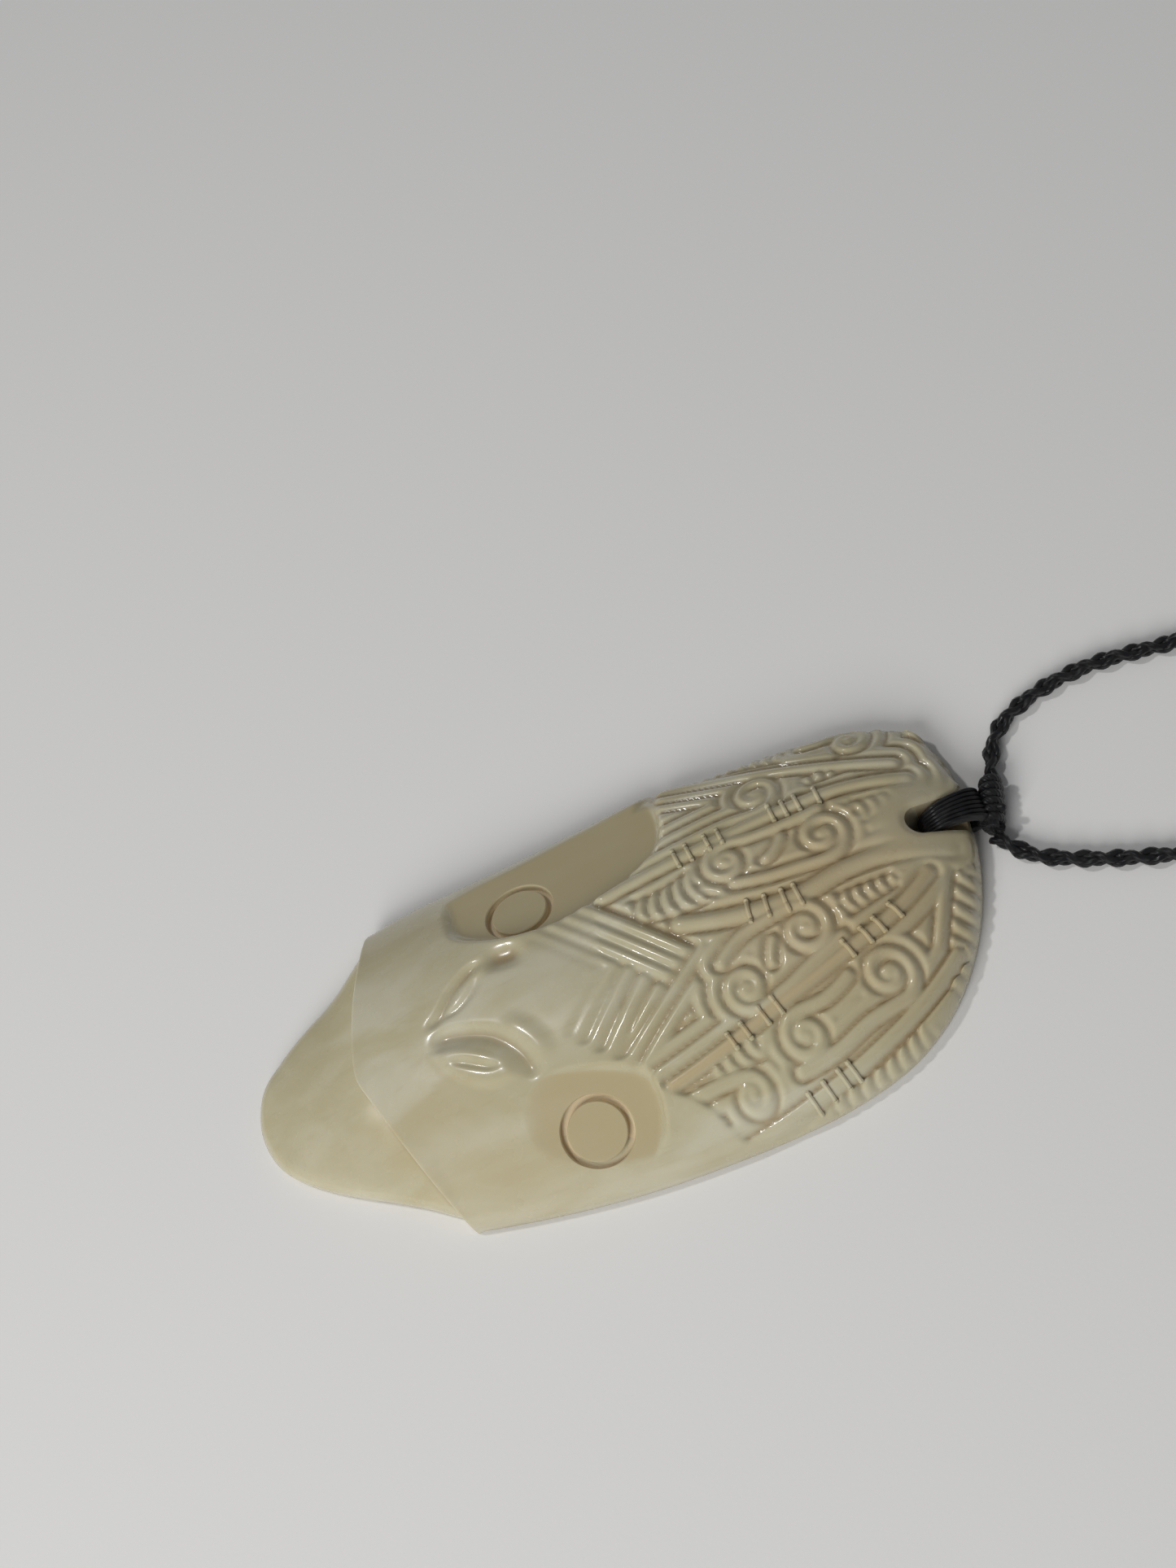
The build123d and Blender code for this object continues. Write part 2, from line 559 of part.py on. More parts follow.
def cord_knot():
    """The wraps that bind the lashing to both cords. Each end is square to the cord that leaves it."""
    bar = Box(knot_length + 2 * knot_thickness, knot_thickness, knot_height)
    bar = fillet(bar.edges().filter_by(Axis.X), knot_rounding)
    knot = Pos(slot_x, knot_y, running_gap + knot_height / 2) * Rotation(0, 0, knot_turn) * bar
    for side, route in ((-1, CORD_LEFT), (1, CORD_RIGHT)):
        end = knot_end(side)
        mouth = Plane(origin=end, z_dir=Vector(*route[0], cord_radius) - end)
        knot = knot - mouth.location * Pos(0, 0, knot_length / 2) * Box(over_all, over_all, knot_length)
    lashing_end = crown_y + loop_thickness + 2 * running_gap
    lashing = Box(loop_width + 2 * running_gap, knot_length, over_all)
    return knot - Pos(slot_x, lashing_end - knot_length / 2) * lashing


def cord(name, side, route, clasp_end):
    """A cord from the knot's end to the clasp's, in straight runs joined by arcs as large as they allow."""
    points = [knot_end(side)] + [Vector(x, y, cord_radius) for x, y in route]
    points.append(Vector(CLASP_PLACE[0], CLASP_PLACE[1] + clasp_end * clasp_length / 2, cord_radius))
    radii = []
    for before, here, after in zip(points, points[1:], points[2:]):
        shorter = min((here - before).length, (after - here).length)
        half_turn = math.radians((here - before).get_angle(after - here)) / 2
        radii.append(0.45 * shorter / math.tan(half_turn))
    print(name, "radii", [round(radius, 1) for radius in radii])
    line = FilletPolyline(*points, radius=radii)
    print(name, "length", round(line.length, 1), "mm")
    return sweep(Plane(origin=line @ 0, z_dir=line % 0) * Circle(cord_radius), path=line)


def clasp():
    """A plain barrel that joins the two cords at the back of the neck."""
    barrel = Cylinder(clasp_radius, clasp_length)
    barrel = chamfer(barrel.edges(), clasp_chamfer)
    return Pos(CLASP_PLACE[0], CLASP_PLACE[1], clasp_radius) * Rotation(90, 0, 0) * barrel


if __name__ == "__main__":
    os.makedirs("parts", exist_ok=True)
    pieces = {
        "bone_face": bone_face(),
        "cord_loop": cord_loop(),
        "cord_knot": cord_knot(),
        "cord_left": cord("cord_left", -1, CORD_LEFT, -1),
        "cord_right": cord("cord_right", 1, CORD_RIGHT, 1),
        "clasp": clasp(),
    }
    for name, piece in pieces.items():
        print(name, round(piece.volume, 1), "mm3")
        export_step(piece, f"parts/{name}.step")
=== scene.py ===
# %% [markdown]
# # A carved bone face on a plaited cord
#
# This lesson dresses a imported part: a pendant carved from one piece of bone, lying on its flat back with its
# cord laid out beside it. Every piece is drawn in metres in the part's own frame: +Z out of the face, +Y from
# the chin to the crown, +X to the right of somebody who looks at it. The sizes of such a small thing are
# easier to read in millimetres, so the lesson works in millimetres and scales once, when a mesh is made.

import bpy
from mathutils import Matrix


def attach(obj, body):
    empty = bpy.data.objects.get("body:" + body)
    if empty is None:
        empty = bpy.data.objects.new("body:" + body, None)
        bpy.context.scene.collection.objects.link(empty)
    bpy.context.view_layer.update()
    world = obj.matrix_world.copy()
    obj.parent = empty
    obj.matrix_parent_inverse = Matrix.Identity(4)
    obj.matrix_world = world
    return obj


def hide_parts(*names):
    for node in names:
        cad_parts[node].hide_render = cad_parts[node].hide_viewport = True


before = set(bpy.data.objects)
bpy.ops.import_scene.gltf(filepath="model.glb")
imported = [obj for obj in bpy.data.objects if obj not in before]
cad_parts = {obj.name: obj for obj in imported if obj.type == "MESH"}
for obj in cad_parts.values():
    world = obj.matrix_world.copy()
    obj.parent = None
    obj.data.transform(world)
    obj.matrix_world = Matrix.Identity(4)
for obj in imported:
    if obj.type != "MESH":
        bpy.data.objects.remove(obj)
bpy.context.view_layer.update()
print("nodes", sorted(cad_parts))

# %% Modules, the unit and new objects
import math

import bmesh
import bpy
import numpy as np
from mathutils import Matrix, Vector

MM = 0.001


def added(name, data):
    """A new object in the scene, at the origin."""
    made = bpy.data.objects.new(name, data)
    bpy.context.scene.collection.objects.link(made)
    return made


def from_bmesh(name, shape):
    """A finished bmesh as an object."""
    mesh = bpy.data.meshes.new(name)
    shape.to_mesh(mesh)
    shape.free()
    print(name, len(mesh.polygons), "faces")
    return added(name, mesh)


# %% [markdown]
# ## The camera
#
# The photographer stood at the right of the pendant, looked down at about sixty degrees, and held the camera
# turned, so that the chin points to the lower left of the picture. A camera is easiest to place by its
# angles: the direction that it looks back along, and the roll about that direction. The lens follows from the
# picture's height: 2800 pixels of focal length on a 36 mm sensor that covers 1927 pixels.

# %% Camera
IMAGE_HEIGHT, FOCAL_PIXELS = 1927, 2800
SENSOR = 36.0
AZIMUTH, ELEVATION, ROLL = (math.radians(angle) for angle in (98.0, 60.0, -32.51))
AIM = Vector((0, 0, 5))  # mm, half way up the dome
STAND_BACK, STAND_RIGHT, STAND_UP = 256.45, -3.13, 23.67  # mm from the aim, along the camera's own axes

back = Vector((math.sin(AZIMUTH) * math.cos(ELEVATION), -math.cos(AZIMUTH) * math.cos(ELEVATION),
               math.sin(ELEVATION)))
level = Vector((math.cos(AZIMUTH), math.sin(AZIMUTH), 0))
over = back.cross(level)
right = level * math.cos(ROLL) + over * math.sin(ROLL)
up = over * math.cos(ROLL) - level * math.sin(ROLL)

camera = added("camera", bpy.data.cameras.new("camera"))
camera.data.sensor_width = SENSOR
camera.data.lens = FOCAL_PIXELS / IMAGE_HEIGHT * SENSOR
camera.data.clip_start = 0.01
place = (AIM + back * STAND_BACK + right * STAND_RIGHT + up * STAND_UP) * MM
camera.matrix_world = Matrix.Translation(place) @ Matrix((right, up, back)).transposed().to_4x4()
bpy.context.scene.camera = camera
print("lens", round(camera.data.lens, 2), "mm, camera at", [round(c / MM, 1) for c in place])

# %% [markdown]
# ## Materials
#
# The floor, the bone, the cord and the clasp are built from the same few moves: a noise on Object
# coordinates, a value spread from one range to another, two colours mixed by a share, and a fine bump. Each
# move is one node with its sockets filled, by numbers or by the outputs of other nodes.

# %% Helpers for materials
def wired(made, values):
    """A node whose sockets take numbers, colours or other nodes' outputs."""
    for socket, value in values.items():
        if isinstance(value, bpy.types.NodeSocket):
            made.id_data.links.new(value, made.inputs[socket])
        else:
            made.inputs[socket].default_value = value
    return made


def node(tree, kind, values=None, **settings):
    """A new node in a tree, with its settings made and its sockets filled."""
    made = tree.nodes.new(kind)
    for key, value in settings.items():
        setattr(made, key, value)
    return wired(made, values or {})


def dressed(piece, name):
    """A piece in one new material, as the material's tree and its Principled BSDF."""
    material = bpy.data.materials.new(name)
    material.use_nodes = True
    piece.data.materials.clear()
    piece.data.materials.append(material)
    return material.node_tree, material.node_tree.nodes["Principled BSDF"]


def noise(tree, stretch, scale, detail=3.0, distortion=0.0):
    """A noise on Object coordinates, stretched by three factors."""
    source = tree.nodes.get("Texture Coordinate") or node(tree, "ShaderNodeTexCoord")
    mapping = node(tree, "ShaderNodeMapping", {"Vector": source.outputs["Object"], "Scale": stretch})
    return node(tree, "ShaderNodeTexNoise", {"Vector": mapping.outputs["Vector"], "Scale": scale,
                                             "Detail": detail, "Distortion": distortion}).outputs["Fac"]


def spread(tree, value, low, high, to_low=0.0, to_high=1.0):
    """A value stretched from one range to another, and kept in it."""
    values = {"Value": value, "From Min": low, "From Max": high, "To Min": to_low, "To Max": to_high}
    return node(tree, "ShaderNodeMapRange", values, interpolation_type="SMOOTHSTEP").outputs["Result"]


def mixed(tree, share, first, second):
    """Two colours mixed by a share; each is a socket or a fixed colour."""
    return node(tree, "ShaderNodeMix", {"Factor": share, 6: first, 7: second}, data_type="RGBA").outputs[2]


def bump(tree, height, strength, distance):
    """The normal of a fine bump, with its distance in mm."""
    return node(tree, "ShaderNodeBump", {"Height": height, "Strength": strength,
                                         "Distance": distance * MM}).outputs["Normal"]


# %% [markdown]
# ## The studio
#
# Polished bone is told by its highlights: thin, crisp lines along each ridge, over a soft body. So the light
# is one broad soft panel for the body and one small bright panel, nearly overhead, for the crisp lines. Both
# are area lights, because an area light's reflection has the panel's own shape. The broad one is kept out of
# the reflections, where it would lie over the lines. The world is a dim, faintly blue grey that only lifts
# the shadows.

# %% World and lights
world = bpy.data.worlds.new("studio")
bpy.context.scene.world = world
world.use_nodes = True
wired(world.node_tree.nodes["Background"], {"Color": (0.93, 0.95, 1.0, 1), "Strength": 0.16})
bpy.context.scene.view_settings.view_transform = "Standard"


def panel(name, toward, distance, size, power):
    """A square area light that looks at the middle of the face, from a direction and a distance in mm."""
    lamp = bpy.data.lights.new(name, "AREA")
    lamp.shape = "SQUARE"
    lamp.size = size * MM
    lamp.energy = power
    shown = added(name, lamp)
    direction = Vector(toward).normalized()
    shown.matrix_world = (Matrix.Translation(direction * distance * MM)
                          @ direction.to_track_quat("Z", "Y").to_matrix().to_4x4())
    return shown


soft_panel = panel("soft_panel", toward=(0.78, -0.60, 0.74), distance=700, size=380, power=3.1)
soft_panel.visible_glossy = False
panel("crisp_panel", toward=(-0.22, -0.37, 0.90), distance=620, size=42, power=0.75)

# %% [markdown]
# The floor is a plain pale sheet. One quad is enough: a fine, faint noise in its bump keeps it from looking
# like a computer's perfect plane. It lies a hair under the pendant's back, so the two never share a plane.

# %% Floor
FLOOR_HALF = 1.5  # metres
FLOOR_DROP = 0.02  # mm

sheet = bmesh.new()
bmesh.ops.create_grid(sheet, x_segments=1, y_segments=1, size=FLOOR_HALF)
bmesh.ops.translate(sheet, verts=sheet.verts, vec=(0, 0, -FLOOR_DROP * MM))
floor = from_bmesh("floor", sheet)

tree, shader = dressed(floor, "pale_floor")
wired(shader, {"Base Color": (0.84, 0.83, 0.81, 1), "Roughness": 0.75,
               "Normal": bump(tree, noise(tree, (1.0, 1.0, 1.0), 1800, 2.0), strength=0.08, distance=0.1)})
print("floor material", len(tree.nodes), "nodes")

# %% [markdown]
# ## The cord's way
#
# The cord leaves the knot at the crown as two plaited strings. In the photograph they run a finger's width
# and leave the picture, so the rest of the loop lies past its edge, folded flat. A cord is soft: it goes
# along one smooth curve. A NURBS spline of order 3 pulls gently towards each of its points, which gives that
# curve from a few given points.

# %% Routes
CORD_RADIUS = 1.1
CLASP_RADIUS, CLASP_HALF = 1.9, 7.0
CLASP_MIDDLE = (7.6, 127.0)
CORD_INTO_CLASP = 1.0

ROUTE_LEFT = [(-5.83, 48.59), (-10.1, 50.3), (-12.6, 53.6), (-13.9, 58.6), (-14.1, 64.0), (-13.2, 69.2),
              (-11.9, 74.0), (-12.0, 79.2), (-14.0, 84.0), (-17.6, 88.2), (-20.6, 92.6), (-22.4, 98.4),
              (-22.95, 108.0), (-23.15, 124.0), (-23.15, 150.0), (-23.05, 171.1), (-22.9, 183.1),
              (-22.62, 194.9), (-18.16, 199.36), (-11.84, 199.36), (-7.38, 194.9), (-7.12, 182.7),
              (-7.0, 162.1), (-7.25, 129.1), (-7.6, 106.1), (-7.69, 92.3), (-7.58, 79.6), (-3.14, 75.16),
              (3.14, 75.16), (7.58, 79.6), (7.72, 92.0), (7.6, 106.0)]
ROUTE_RIGHT = [(0.47, 46.05), (3.9, 47.9), (6.3, 51.2), (9.1, 56.5), (11.5, 62.1), (14.0, 68.4),
               (17.0, 74.6), (20.2, 81.0), (22.2, 88.6), (22.85, 98.0), (23.1, 112.0), (23.15, 134.0),
               (23.1, 155.0), (22.95, 172.6), (22.8, 183.6), (22.6, 194.9), (18.14, 199.36),
               (11.82, 199.36), (7.36, 194.9), (7.25, 183.6), (7.3, 172.6), (7.45, 156.0), (7.6, 146.0)]


def route_line(places, clasp_end):
    """The smooth line of a cord, in mm: the points that Blender gives for its NURBS spline."""
    points = [(x, y, CORD_RADIUS) for x, y in places]
    clasp_y = CLASP_MIDDLE[1] + clasp_end * (CLASP_HALF - CORD_INTO_CLASP)
    points.append((CLASP_MIDDLE[0], clasp_y, CLASP_RADIUS))
    curve = bpy.data.curves.new("cord_way", "CURVE")
    curve.dimensions = "3D"
    spline = curve.splines.new("NURBS")
    spline.points.add(len(points) - 1)
    for point, (x, y, z) in zip(spline.points, points):
        point.co = (x * MM, y * MM, z * MM, 1)
    spline.order_u = 3
    spline.use_endpoint_u = True
    spline.resolution_u = 24
    carrier = bpy.data.objects.new("cord_way", curve)
    line = bpy.data.meshes.new_from_object(carrier)
    found = np.array([v.co for v in line.vertices]) / MM
    bpy.data.objects.remove(carrier)
    bpy.data.curves.remove(curve)
    bpy.data.meshes.remove(line)
    return found


def run_along(line):
    """How far along the line each of its points is."""
    return np.concatenate([[0.0], np.cumsum(np.linalg.norm(np.diff(line, axis=0), axis=1))])


line_left, line_right = route_line(ROUTE_LEFT, -1), route_line(ROUTE_RIGHT, 1)
print("left and right cord in mm:", [round(run_along(line)[-1], 1) for line in (line_left, line_right)])

# %% [markdown]
# ## Rolling a grid into a tube
#
# A strand, a wrap and a tie are all tubes. Each starts as a flat bmesh grid, a row of quads round and a
# column along, and numpy rolls it round its path. The grid's UV map then runs along and round the strand,
# which is what a twisted fibre pattern needs. The seam is welded and the two ends are filled, so that every
# tube is a closed skin.

# %% Tubes
WELD = 1e-4  # mm


def unit(vectors):
    return vectors / np.linalg.norm(vectors, axis=-1, keepdims=True)


def directions(path, upward):
    """At each point of a path: ahead, aside and above."""
    ahead = unit(np.gradient(path, axis=0))
    aside = unit(np.cross(ahead, upward))
    return ahead, aside, np.cross(aside, ahead)


def rolled(path, sides, wide, high, upward):
    """The places of a tube's points: a ring for each point of the path, wide across and high along upward."""
    _, aside, above = directions(path, upward)
    turn = np.linspace(0, 2 * math.pi, sides + 1)[:, None, None]
    wide, high = (np.broadcast_to(size, len(path))[:, None] for size in (wide, high))
    return path + np.cos(turn) * aside * wide + np.sin(turn) * above * high


def tube_object(name, paths, sides, wide, high, upward=(0, 0, 1)):
    """One object of closed tubes round paths in mm. wide and high are half sizes, numbers or one a point."""
    grid = bmesh.new()
    grid.loops.layers.uv.new("UVMap")
    places = []
    for path in paths:
        bmesh.ops.create_grid(grid, x_segments=len(path) - 1, y_segments=sides, size=0.5, calc_uvs=True)
        places.append(rolled(np.asarray(path, float), sides, wide, high, upward).reshape(-1, 3))
    for vertex, position in zip(grid.verts, np.concatenate(places) * MM):
        vertex.co = position
    bmesh.ops.remove_doubles(grid, verts=grid.verts, dist=WELD * MM)
    bmesh.ops.holes_fill(grid, edges=[edge for edge in grid.edges if edge.is_boundary], sides=0)
    bmesh.ops.recalc_face_normals(grid, faces=grid.faces)
    for face in grid.faces:
        face.smooth = len(face.verts) == 4
    return from_bmesh(name, grid)


def kept(piece, slot, *nodes):
    """A finished piece rides on the part's one body and stands for its CAD nodes. Its slot is not used."""
    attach(piece, "root")
    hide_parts(*nodes)


# %% [markdown]
# ## The plait
#
# The cord is a round plait of four waxed strands. Two go round the middle one way and two the other way, and
# where they cross, one passes over the other. Seen from above that gives two rows of slanted stitches. Each
# strand's path winds round the route: its angle grows with the way along, and its distance from the middle
# swells and shrinks twice a turn, outwards where it passes over and inwards where it passes under.

# %% Plaited cords
TURN_LENGTH = 7.2  # the way along the cord in which a strand goes round once
STRAND = 0.42  # half a strand's thickness
STRAND_MIDDLE = 0.45  # its mean distance from the cord's middle
STRAND_SWING = 0.23  # how much it swings out and in where strands cross
RINGS_A_TURN = 20
STRAND_SIDES = 7


def plait(line):
    """The paths of the four strands round a line."""
    way = run_along(line)
    steps = int(way[-1] / TURN_LENGTH * RINGS_A_TURN)
    at = np.linspace(0, way[-1], steps + 1)
    middle = np.stack([np.interp(at, way, column) for column in line.T], axis=1)
    _, aside, above = directions(middle, (0, 0, 1))
    turn = 2 * math.pi * at / TURN_LENGTH
    paths = []
    for hand in (1, -1):
        for start in (0, math.pi):
            angle = hand * turn + start
            out = (STRAND_MIDDLE + hand * STRAND_SWING * np.cos(2 * turn))[:, None]
            paths.append(middle + out * (np.cos(angle)[:, None] * aside + np.sin(angle)[:, None] * above))
    return paths


cord_left = tube_object("plaited_cord_left", plait(line_left), STRAND_SIDES, STRAND, STRAND)
cord_right = tube_object("plaited_cord_right", plait(line_right), STRAND_SIDES, STRAND, STRAND)
kept(cord_left, "cord", "cord_left")
kept(cord_right, "cord", "cord_right")

# %% [markdown]
# ## Smooth lines
#
# The lashing, the face's outline and every line of the carving go smoothly through a few points. Between two
# points a cubic takes each point's own slope, and a point's slope comes from its neighbours. Tables of sizes
# along the face are read in the same way.

# %% Smooth lines
def between(stations, values, slopes, at):
    """Values at some places between stations, by cubics that keep the slope at each station."""
    low = np.clip(np.searchsorted(stations, at, side="right") - 1, 0, len(stations) - 2)
    span = stations[low + 1] - stations[low]
    t = (at - stations[low]) / span
    if values.ndim == 2:
        span, t = span[:, None], t[:, None]
    return ((1 + 2 * t) * (1 - t) ** 2 * values[low] + t * (1 - t) ** 2 * span * slopes[low]
            + t ** 2 * (3 - 2 * t) * values[low + 1] + t ** 2 * (t - 1) * span * slopes[low + 1])


def smooth_line(points, steps=40, edge_order=2):
    """A smooth line through a few points, with so many steps between two of them."""
    points = np.asarray(points, float)
    chord = run_along(points)
    slopes = np.gradient(points, chord, axis=0, edge_order=min(edge_order, len(points) - 1))
    return between(chord, points, slopes, np.linspace(0, chord[-1], steps * (len(points) - 1) + 1))


def table_value(rows, column, along):
    """A smooth value between the rows of a table, whose first column says how far along each row is."""
    stations, values = rows[:, 0], rows[:, column]
    return between(stations, values, np.gradient(values, stations), np.clip(along, stations[0], stations[-1]))


def spread_on(line, shares):
    """The places at given shares of a line's length."""
    way = run_along(line)
    return np.stack([np.interp(shares * way[-1], way, column) for column in line.T], axis=1)


# %% [markdown]
# ## The lashing and the knot
#
# A doubled bundle of waxed strands goes down through the hole, along the recess in the back and round the
# bone bridge at the crown. In front it starts narrow in the hole and spreads where it comes up to the crown's
# edge, so the strands' places across are scaled along the way. Beyond the crown a whipping of close turns
# binds the bundle to both cords. Its end was cut and melted to a small bead, which keeps it from slipping.

# %% Lashing
SLOT_X, HOLE_Y, HOLE_RADIUS, CROWN_Y = -2.68, 39.22, 1.75, 44.82
BRIDGE_TOP, BRIDGE_BACK, RECESS_DEPTH = 3.2, 1.05, 1.8  # its back is measured from the hole's middle
LASHING_THICK, GAP, LASHING_TUCK = 1.5, 0.15, 0.25
LASHING_STRANDS, LASHING_HALF_WIDTH, LASHING_SPREAD = 7, 1.15, 0.55
STRAP_WIDE, STRAP_HIGH = 0.66, 0.3  # half sizes of one flattened strand


def lashing_path(offset):
    """Round the bridge: up the hole, forward over the front, down past the crown, back along the recess."""
    half = LASHING_THICK / 2
    low, high = RECESS_DEPTH - GAP - half, BRIDGE_TOP + GAP + half
    back_y, front_y = HOLE_Y + BRIDGE_BACK - GAP - half + LASHING_TUCK, CROWN_Y + GAP + half
    corners = [(back_y, high - 0.15), (back_y + 0.9, high + 0.75), (front_y - 1.6, high + 1.05),
               (front_y, high - 0.1), (front_y + 0.05, low + 1.4), (front_y - 0.5, low),
               (back_y + 0.6, low), (back_y - 0.05, low + 1.2)]
    # The ring is drawn with its first corners again at the end, and cut from its second corner to that one.
    ring = smooth_line(corners + corners[:3], steps=10, edge_order=1)
    from_corner = np.linalg.norm(ring - np.array(corners[1]), axis=1)
    early = np.linspace(0, 9, len(ring))
    start, end = int(np.argmin(from_corner + early)), int(np.argmin(from_corner + early[::-1]))
    y, z = ring[start:end + 1].T
    z = np.maximum(z, low)  # flat along the recess
    forward = (y - back_y) / (front_y - back_y)
    spreading = 1 + LASHING_SPREAD * np.clip(forward, 0, 1) * (z > BRIDGE_TOP - 0.6)
    return np.stack([SLOT_X + offset * spreading, y, z], axis=1)


offsets = np.linspace(-LASHING_HALF_WIDTH, LASHING_HALF_WIDTH, LASHING_STRANDS)
lashing = tube_object("waxed_lashing", [lashing_path(offset) for offset in offsets], 8,
                      STRAP_WIDE, STRAP_HIGH, (1, 0, 0))
kept(lashing, "cord", "cord_loop")

# %% Knot
KNOT_LENGTH, KNOT_TURN, KNOT_TURNS = 6.8, math.radians(-22.0), 6
KNOT_MIDDLE = np.array([SLOT_X, CROWN_Y + 2.5, 2.25])
KNOT_WIDE, KNOT_HIGH, KNOT_TAPER = 0.98, 1.55, 0.16  # half sizes, and how much smaller its ends are
WRAP, CORE, CORE_REACH = 0.55, 0.75, 0.46  # half sizes, and the cores' half length as a share
CORE_LIFTS = (-0.85, 0.0, 0.85)
STUB_START, STUB_WAY, STUB = np.array([1.1, 0.1, 1.2]), np.array([0.7, 1.0, 0.5]), 0.5
STUB_TAPER = np.array([1, 1, 1, 1, 1, 1, 0.8, 0.35])
UP = np.array([0, 0, 1.0])

axis = np.array([math.cos(KNOT_TURN), math.sin(KNOT_TURN), 0.0])
across = np.array([-axis[1], axis[0], 0.0])
turn = np.linspace(0, 2 * math.pi * KNOT_TURNS, 36 * KNOT_TURNS + 1)
reach = np.linspace(-1, 1, len(turn)) * (KNOT_LENGTH / 2 - WRAP)
swell = 1 - KNOT_TAPER * np.abs(reach / reach[-1]) ** 3
wraps = (KNOT_MIDDLE + reach[:, None] * axis + (KNOT_WIDE * swell * np.cos(turn))[:, None] * across
         + (KNOT_HIGH * swell * np.sin(turn))[:, None] * UP)
core_way = np.linspace(-CORE_REACH, CORE_REACH, 5)[:, None] * KNOT_LENGTH * axis
cores = [KNOT_MIDDLE + core_way + lift * UP for lift in CORE_LIFTS]
stub = KNOT_MIDDLE + STUB_START + np.linspace(0, 1, 8)[:, None] * STUB_WAY
flattened = np.sqrt(np.linspace(0.7, 1, 8))

knot = tube_object("whipped_knot", [wraps], 10, WRAP, WRAP, axis)
core = tube_object("knot_cores", cores, 12, CORE, CORE, across)
bead = tube_object("melted_end", [stub], 12, STUB * flattened * STUB_TAPER, STUB * STUB_TAPER)
for piece in (knot, core, bead):
    kept(piece, "cord", "cord_knot")

# %% [markdown]
# ## The bone face: its outline
#
# The face is one piece of bone: a long dome with a flat back. Its outline is set by a few rows of a table, as
# in the part: how far along from chin to crown, and how far out on each side. The tongue hangs from under the
# lip, so it has rows of its own. Everything is a share of the face's length or of half its width.

# %% Tables of the outline and the dome
FACE_LENGTH, HALF_WIDTH = 90.0, 22.75
FACE_RISE, RIM_HEIGHT, RIM_ROUNDING, FLANK_FALL, TONGUE_RISE = 10.0, 2.6, 1.5, 0.82, 4.3

FACE = np.array([(0.222, 0.750, -0.965), (0.280, 0.812, -0.985), (0.370, 0.893, -0.985),
                 (0.460, 0.952, -0.985), (0.550, 0.985, -0.995), (0.640, 1.000, -1.000),
                 (0.720, 0.985, -0.950), (0.810, 0.900, -0.910), (0.870, 0.760, -0.875),
                 (0.920, 0.560, -0.820), (0.960, 0.310, -0.735), (0.988, 0.010, -0.600),
                 (1.000, -0.270, -0.270)])                       # along, right, left
TONGUE = np.array([(0.000, -0.180, -0.180), (0.010, 0.010, -0.360), (0.055, 0.210, -0.520),
                   (0.100, 0.340, -0.620), (0.145, 0.455, -0.700), (0.190, 0.585, -0.830),
                   (0.222, 0.690, -0.920), (0.262, 0.720, -0.930)])
DOME = np.array([(0.00, -0.17, 0.50), (0.16, -0.13, 0.62), (0.22, -0.11, 0.73), (0.30, -0.08, 0.86),
                 (0.38, -0.03, 0.96), (0.50, 0.04, 1.00), (0.61, 0.07, 1.00), (0.72, 0.03, 0.94),
                 (0.83, -0.05, 0.78), (0.92, -0.12, 0.52), (1.00, -0.26, 0.14)])   # along, ridge, rise
LIP = np.array([(0.222, -0.965), (0.208, -0.760), (0.187, -0.515), (0.169, -0.275), (0.161, -0.110),
                (0.170, 0.040), (0.181, 0.195), (0.192, 0.350), (0.205, 0.530), (0.222, 0.750)])


def flat(along, across):
    """A place seen from the front, in mm, from its shares."""
    return np.stack([np.multiply(across, HALF_WIDTH), np.multiply(along, FACE_LENGTH) - FACE_LENGTH / 2],
                    axis=-1)


def calmed(line, reach, step=0.15):
    """A line with its small kinks evened out over a reach in mm. Its ends stay."""
    line = spread_on(line, np.linspace(0, 1, int(run_along(line)[-1] / step)))
    for _ in range(int(2 * (reach / step) ** 2)):
        line[1:-1] = 0.25 * line[:-2] + 0.5 * line[1:-1] + 0.25 * line[2:]
    return line


print("rows", len(FACE), len(TONGUE), len(DOME), len(LIP))

# %% [markdown]
# ## Heights
#
# Most of the carving can be told as a height over each place of the flat back, because nothing in it
# overhangs. The height is the polished dome, less what the carver took away. Numpy gives the heights of every
# point of a grid at once, and each kind of carving is a short function of its own.

# %% Heights of the dome and the tongue
FLANK_POWER, EDGE_POWER = 2.1, 8  # how the dome falls: its broad flank, and its last bit
RIM_DROP = 0.7
TONGUE_SUNK, TONGUE_FALL, TONGUE_POWER = 0.4, 0.8, 2.2


def distance_to(line, x, y):
    """Distance from each place to a polyline in mm, and how far along it the nearest point is."""
    nearest = np.full(np.shape(x), np.inf)
    along = np.zeros(np.shape(x))
    start = 0.0
    for (ax, ay), (bx, by) in zip(line, line[1:]):
        length = math.hypot(bx - ax, by - ay)
        t = np.clip(((x - ax) * (bx - ax) + (y - ay) * (by - ay)) / max(length, 1e-9) ** 2, 0.0, 1.0)
        distance = np.hypot(x - ax - t * (bx - ax), y - ay - t * (by - ay))
        along = np.where(distance < nearest, start + t * length, along)
        nearest = np.minimum(nearest, distance)
        start += length
    return nearest, along


def ease(share):
    """A soft step from 0 to 1."""
    share = np.clip(share, 0.0, 1.0)
    return share * share * (3 - 2 * share)


def past(distance, begins, takes):
    """A soft step that begins at a distance in mm and takes another."""
    return ease((distance - begins) / takes)


def outline_at(rows, y):
    """How far along each place is, and the right and the left edge of an outline there in mm."""
    along = (y + FACE_LENGTH / 2) / FACE_LENGTH
    return along, HALF_WIDTH * table_value(rows, 1, along), HALF_WIDTH * table_value(rows, 2, along)


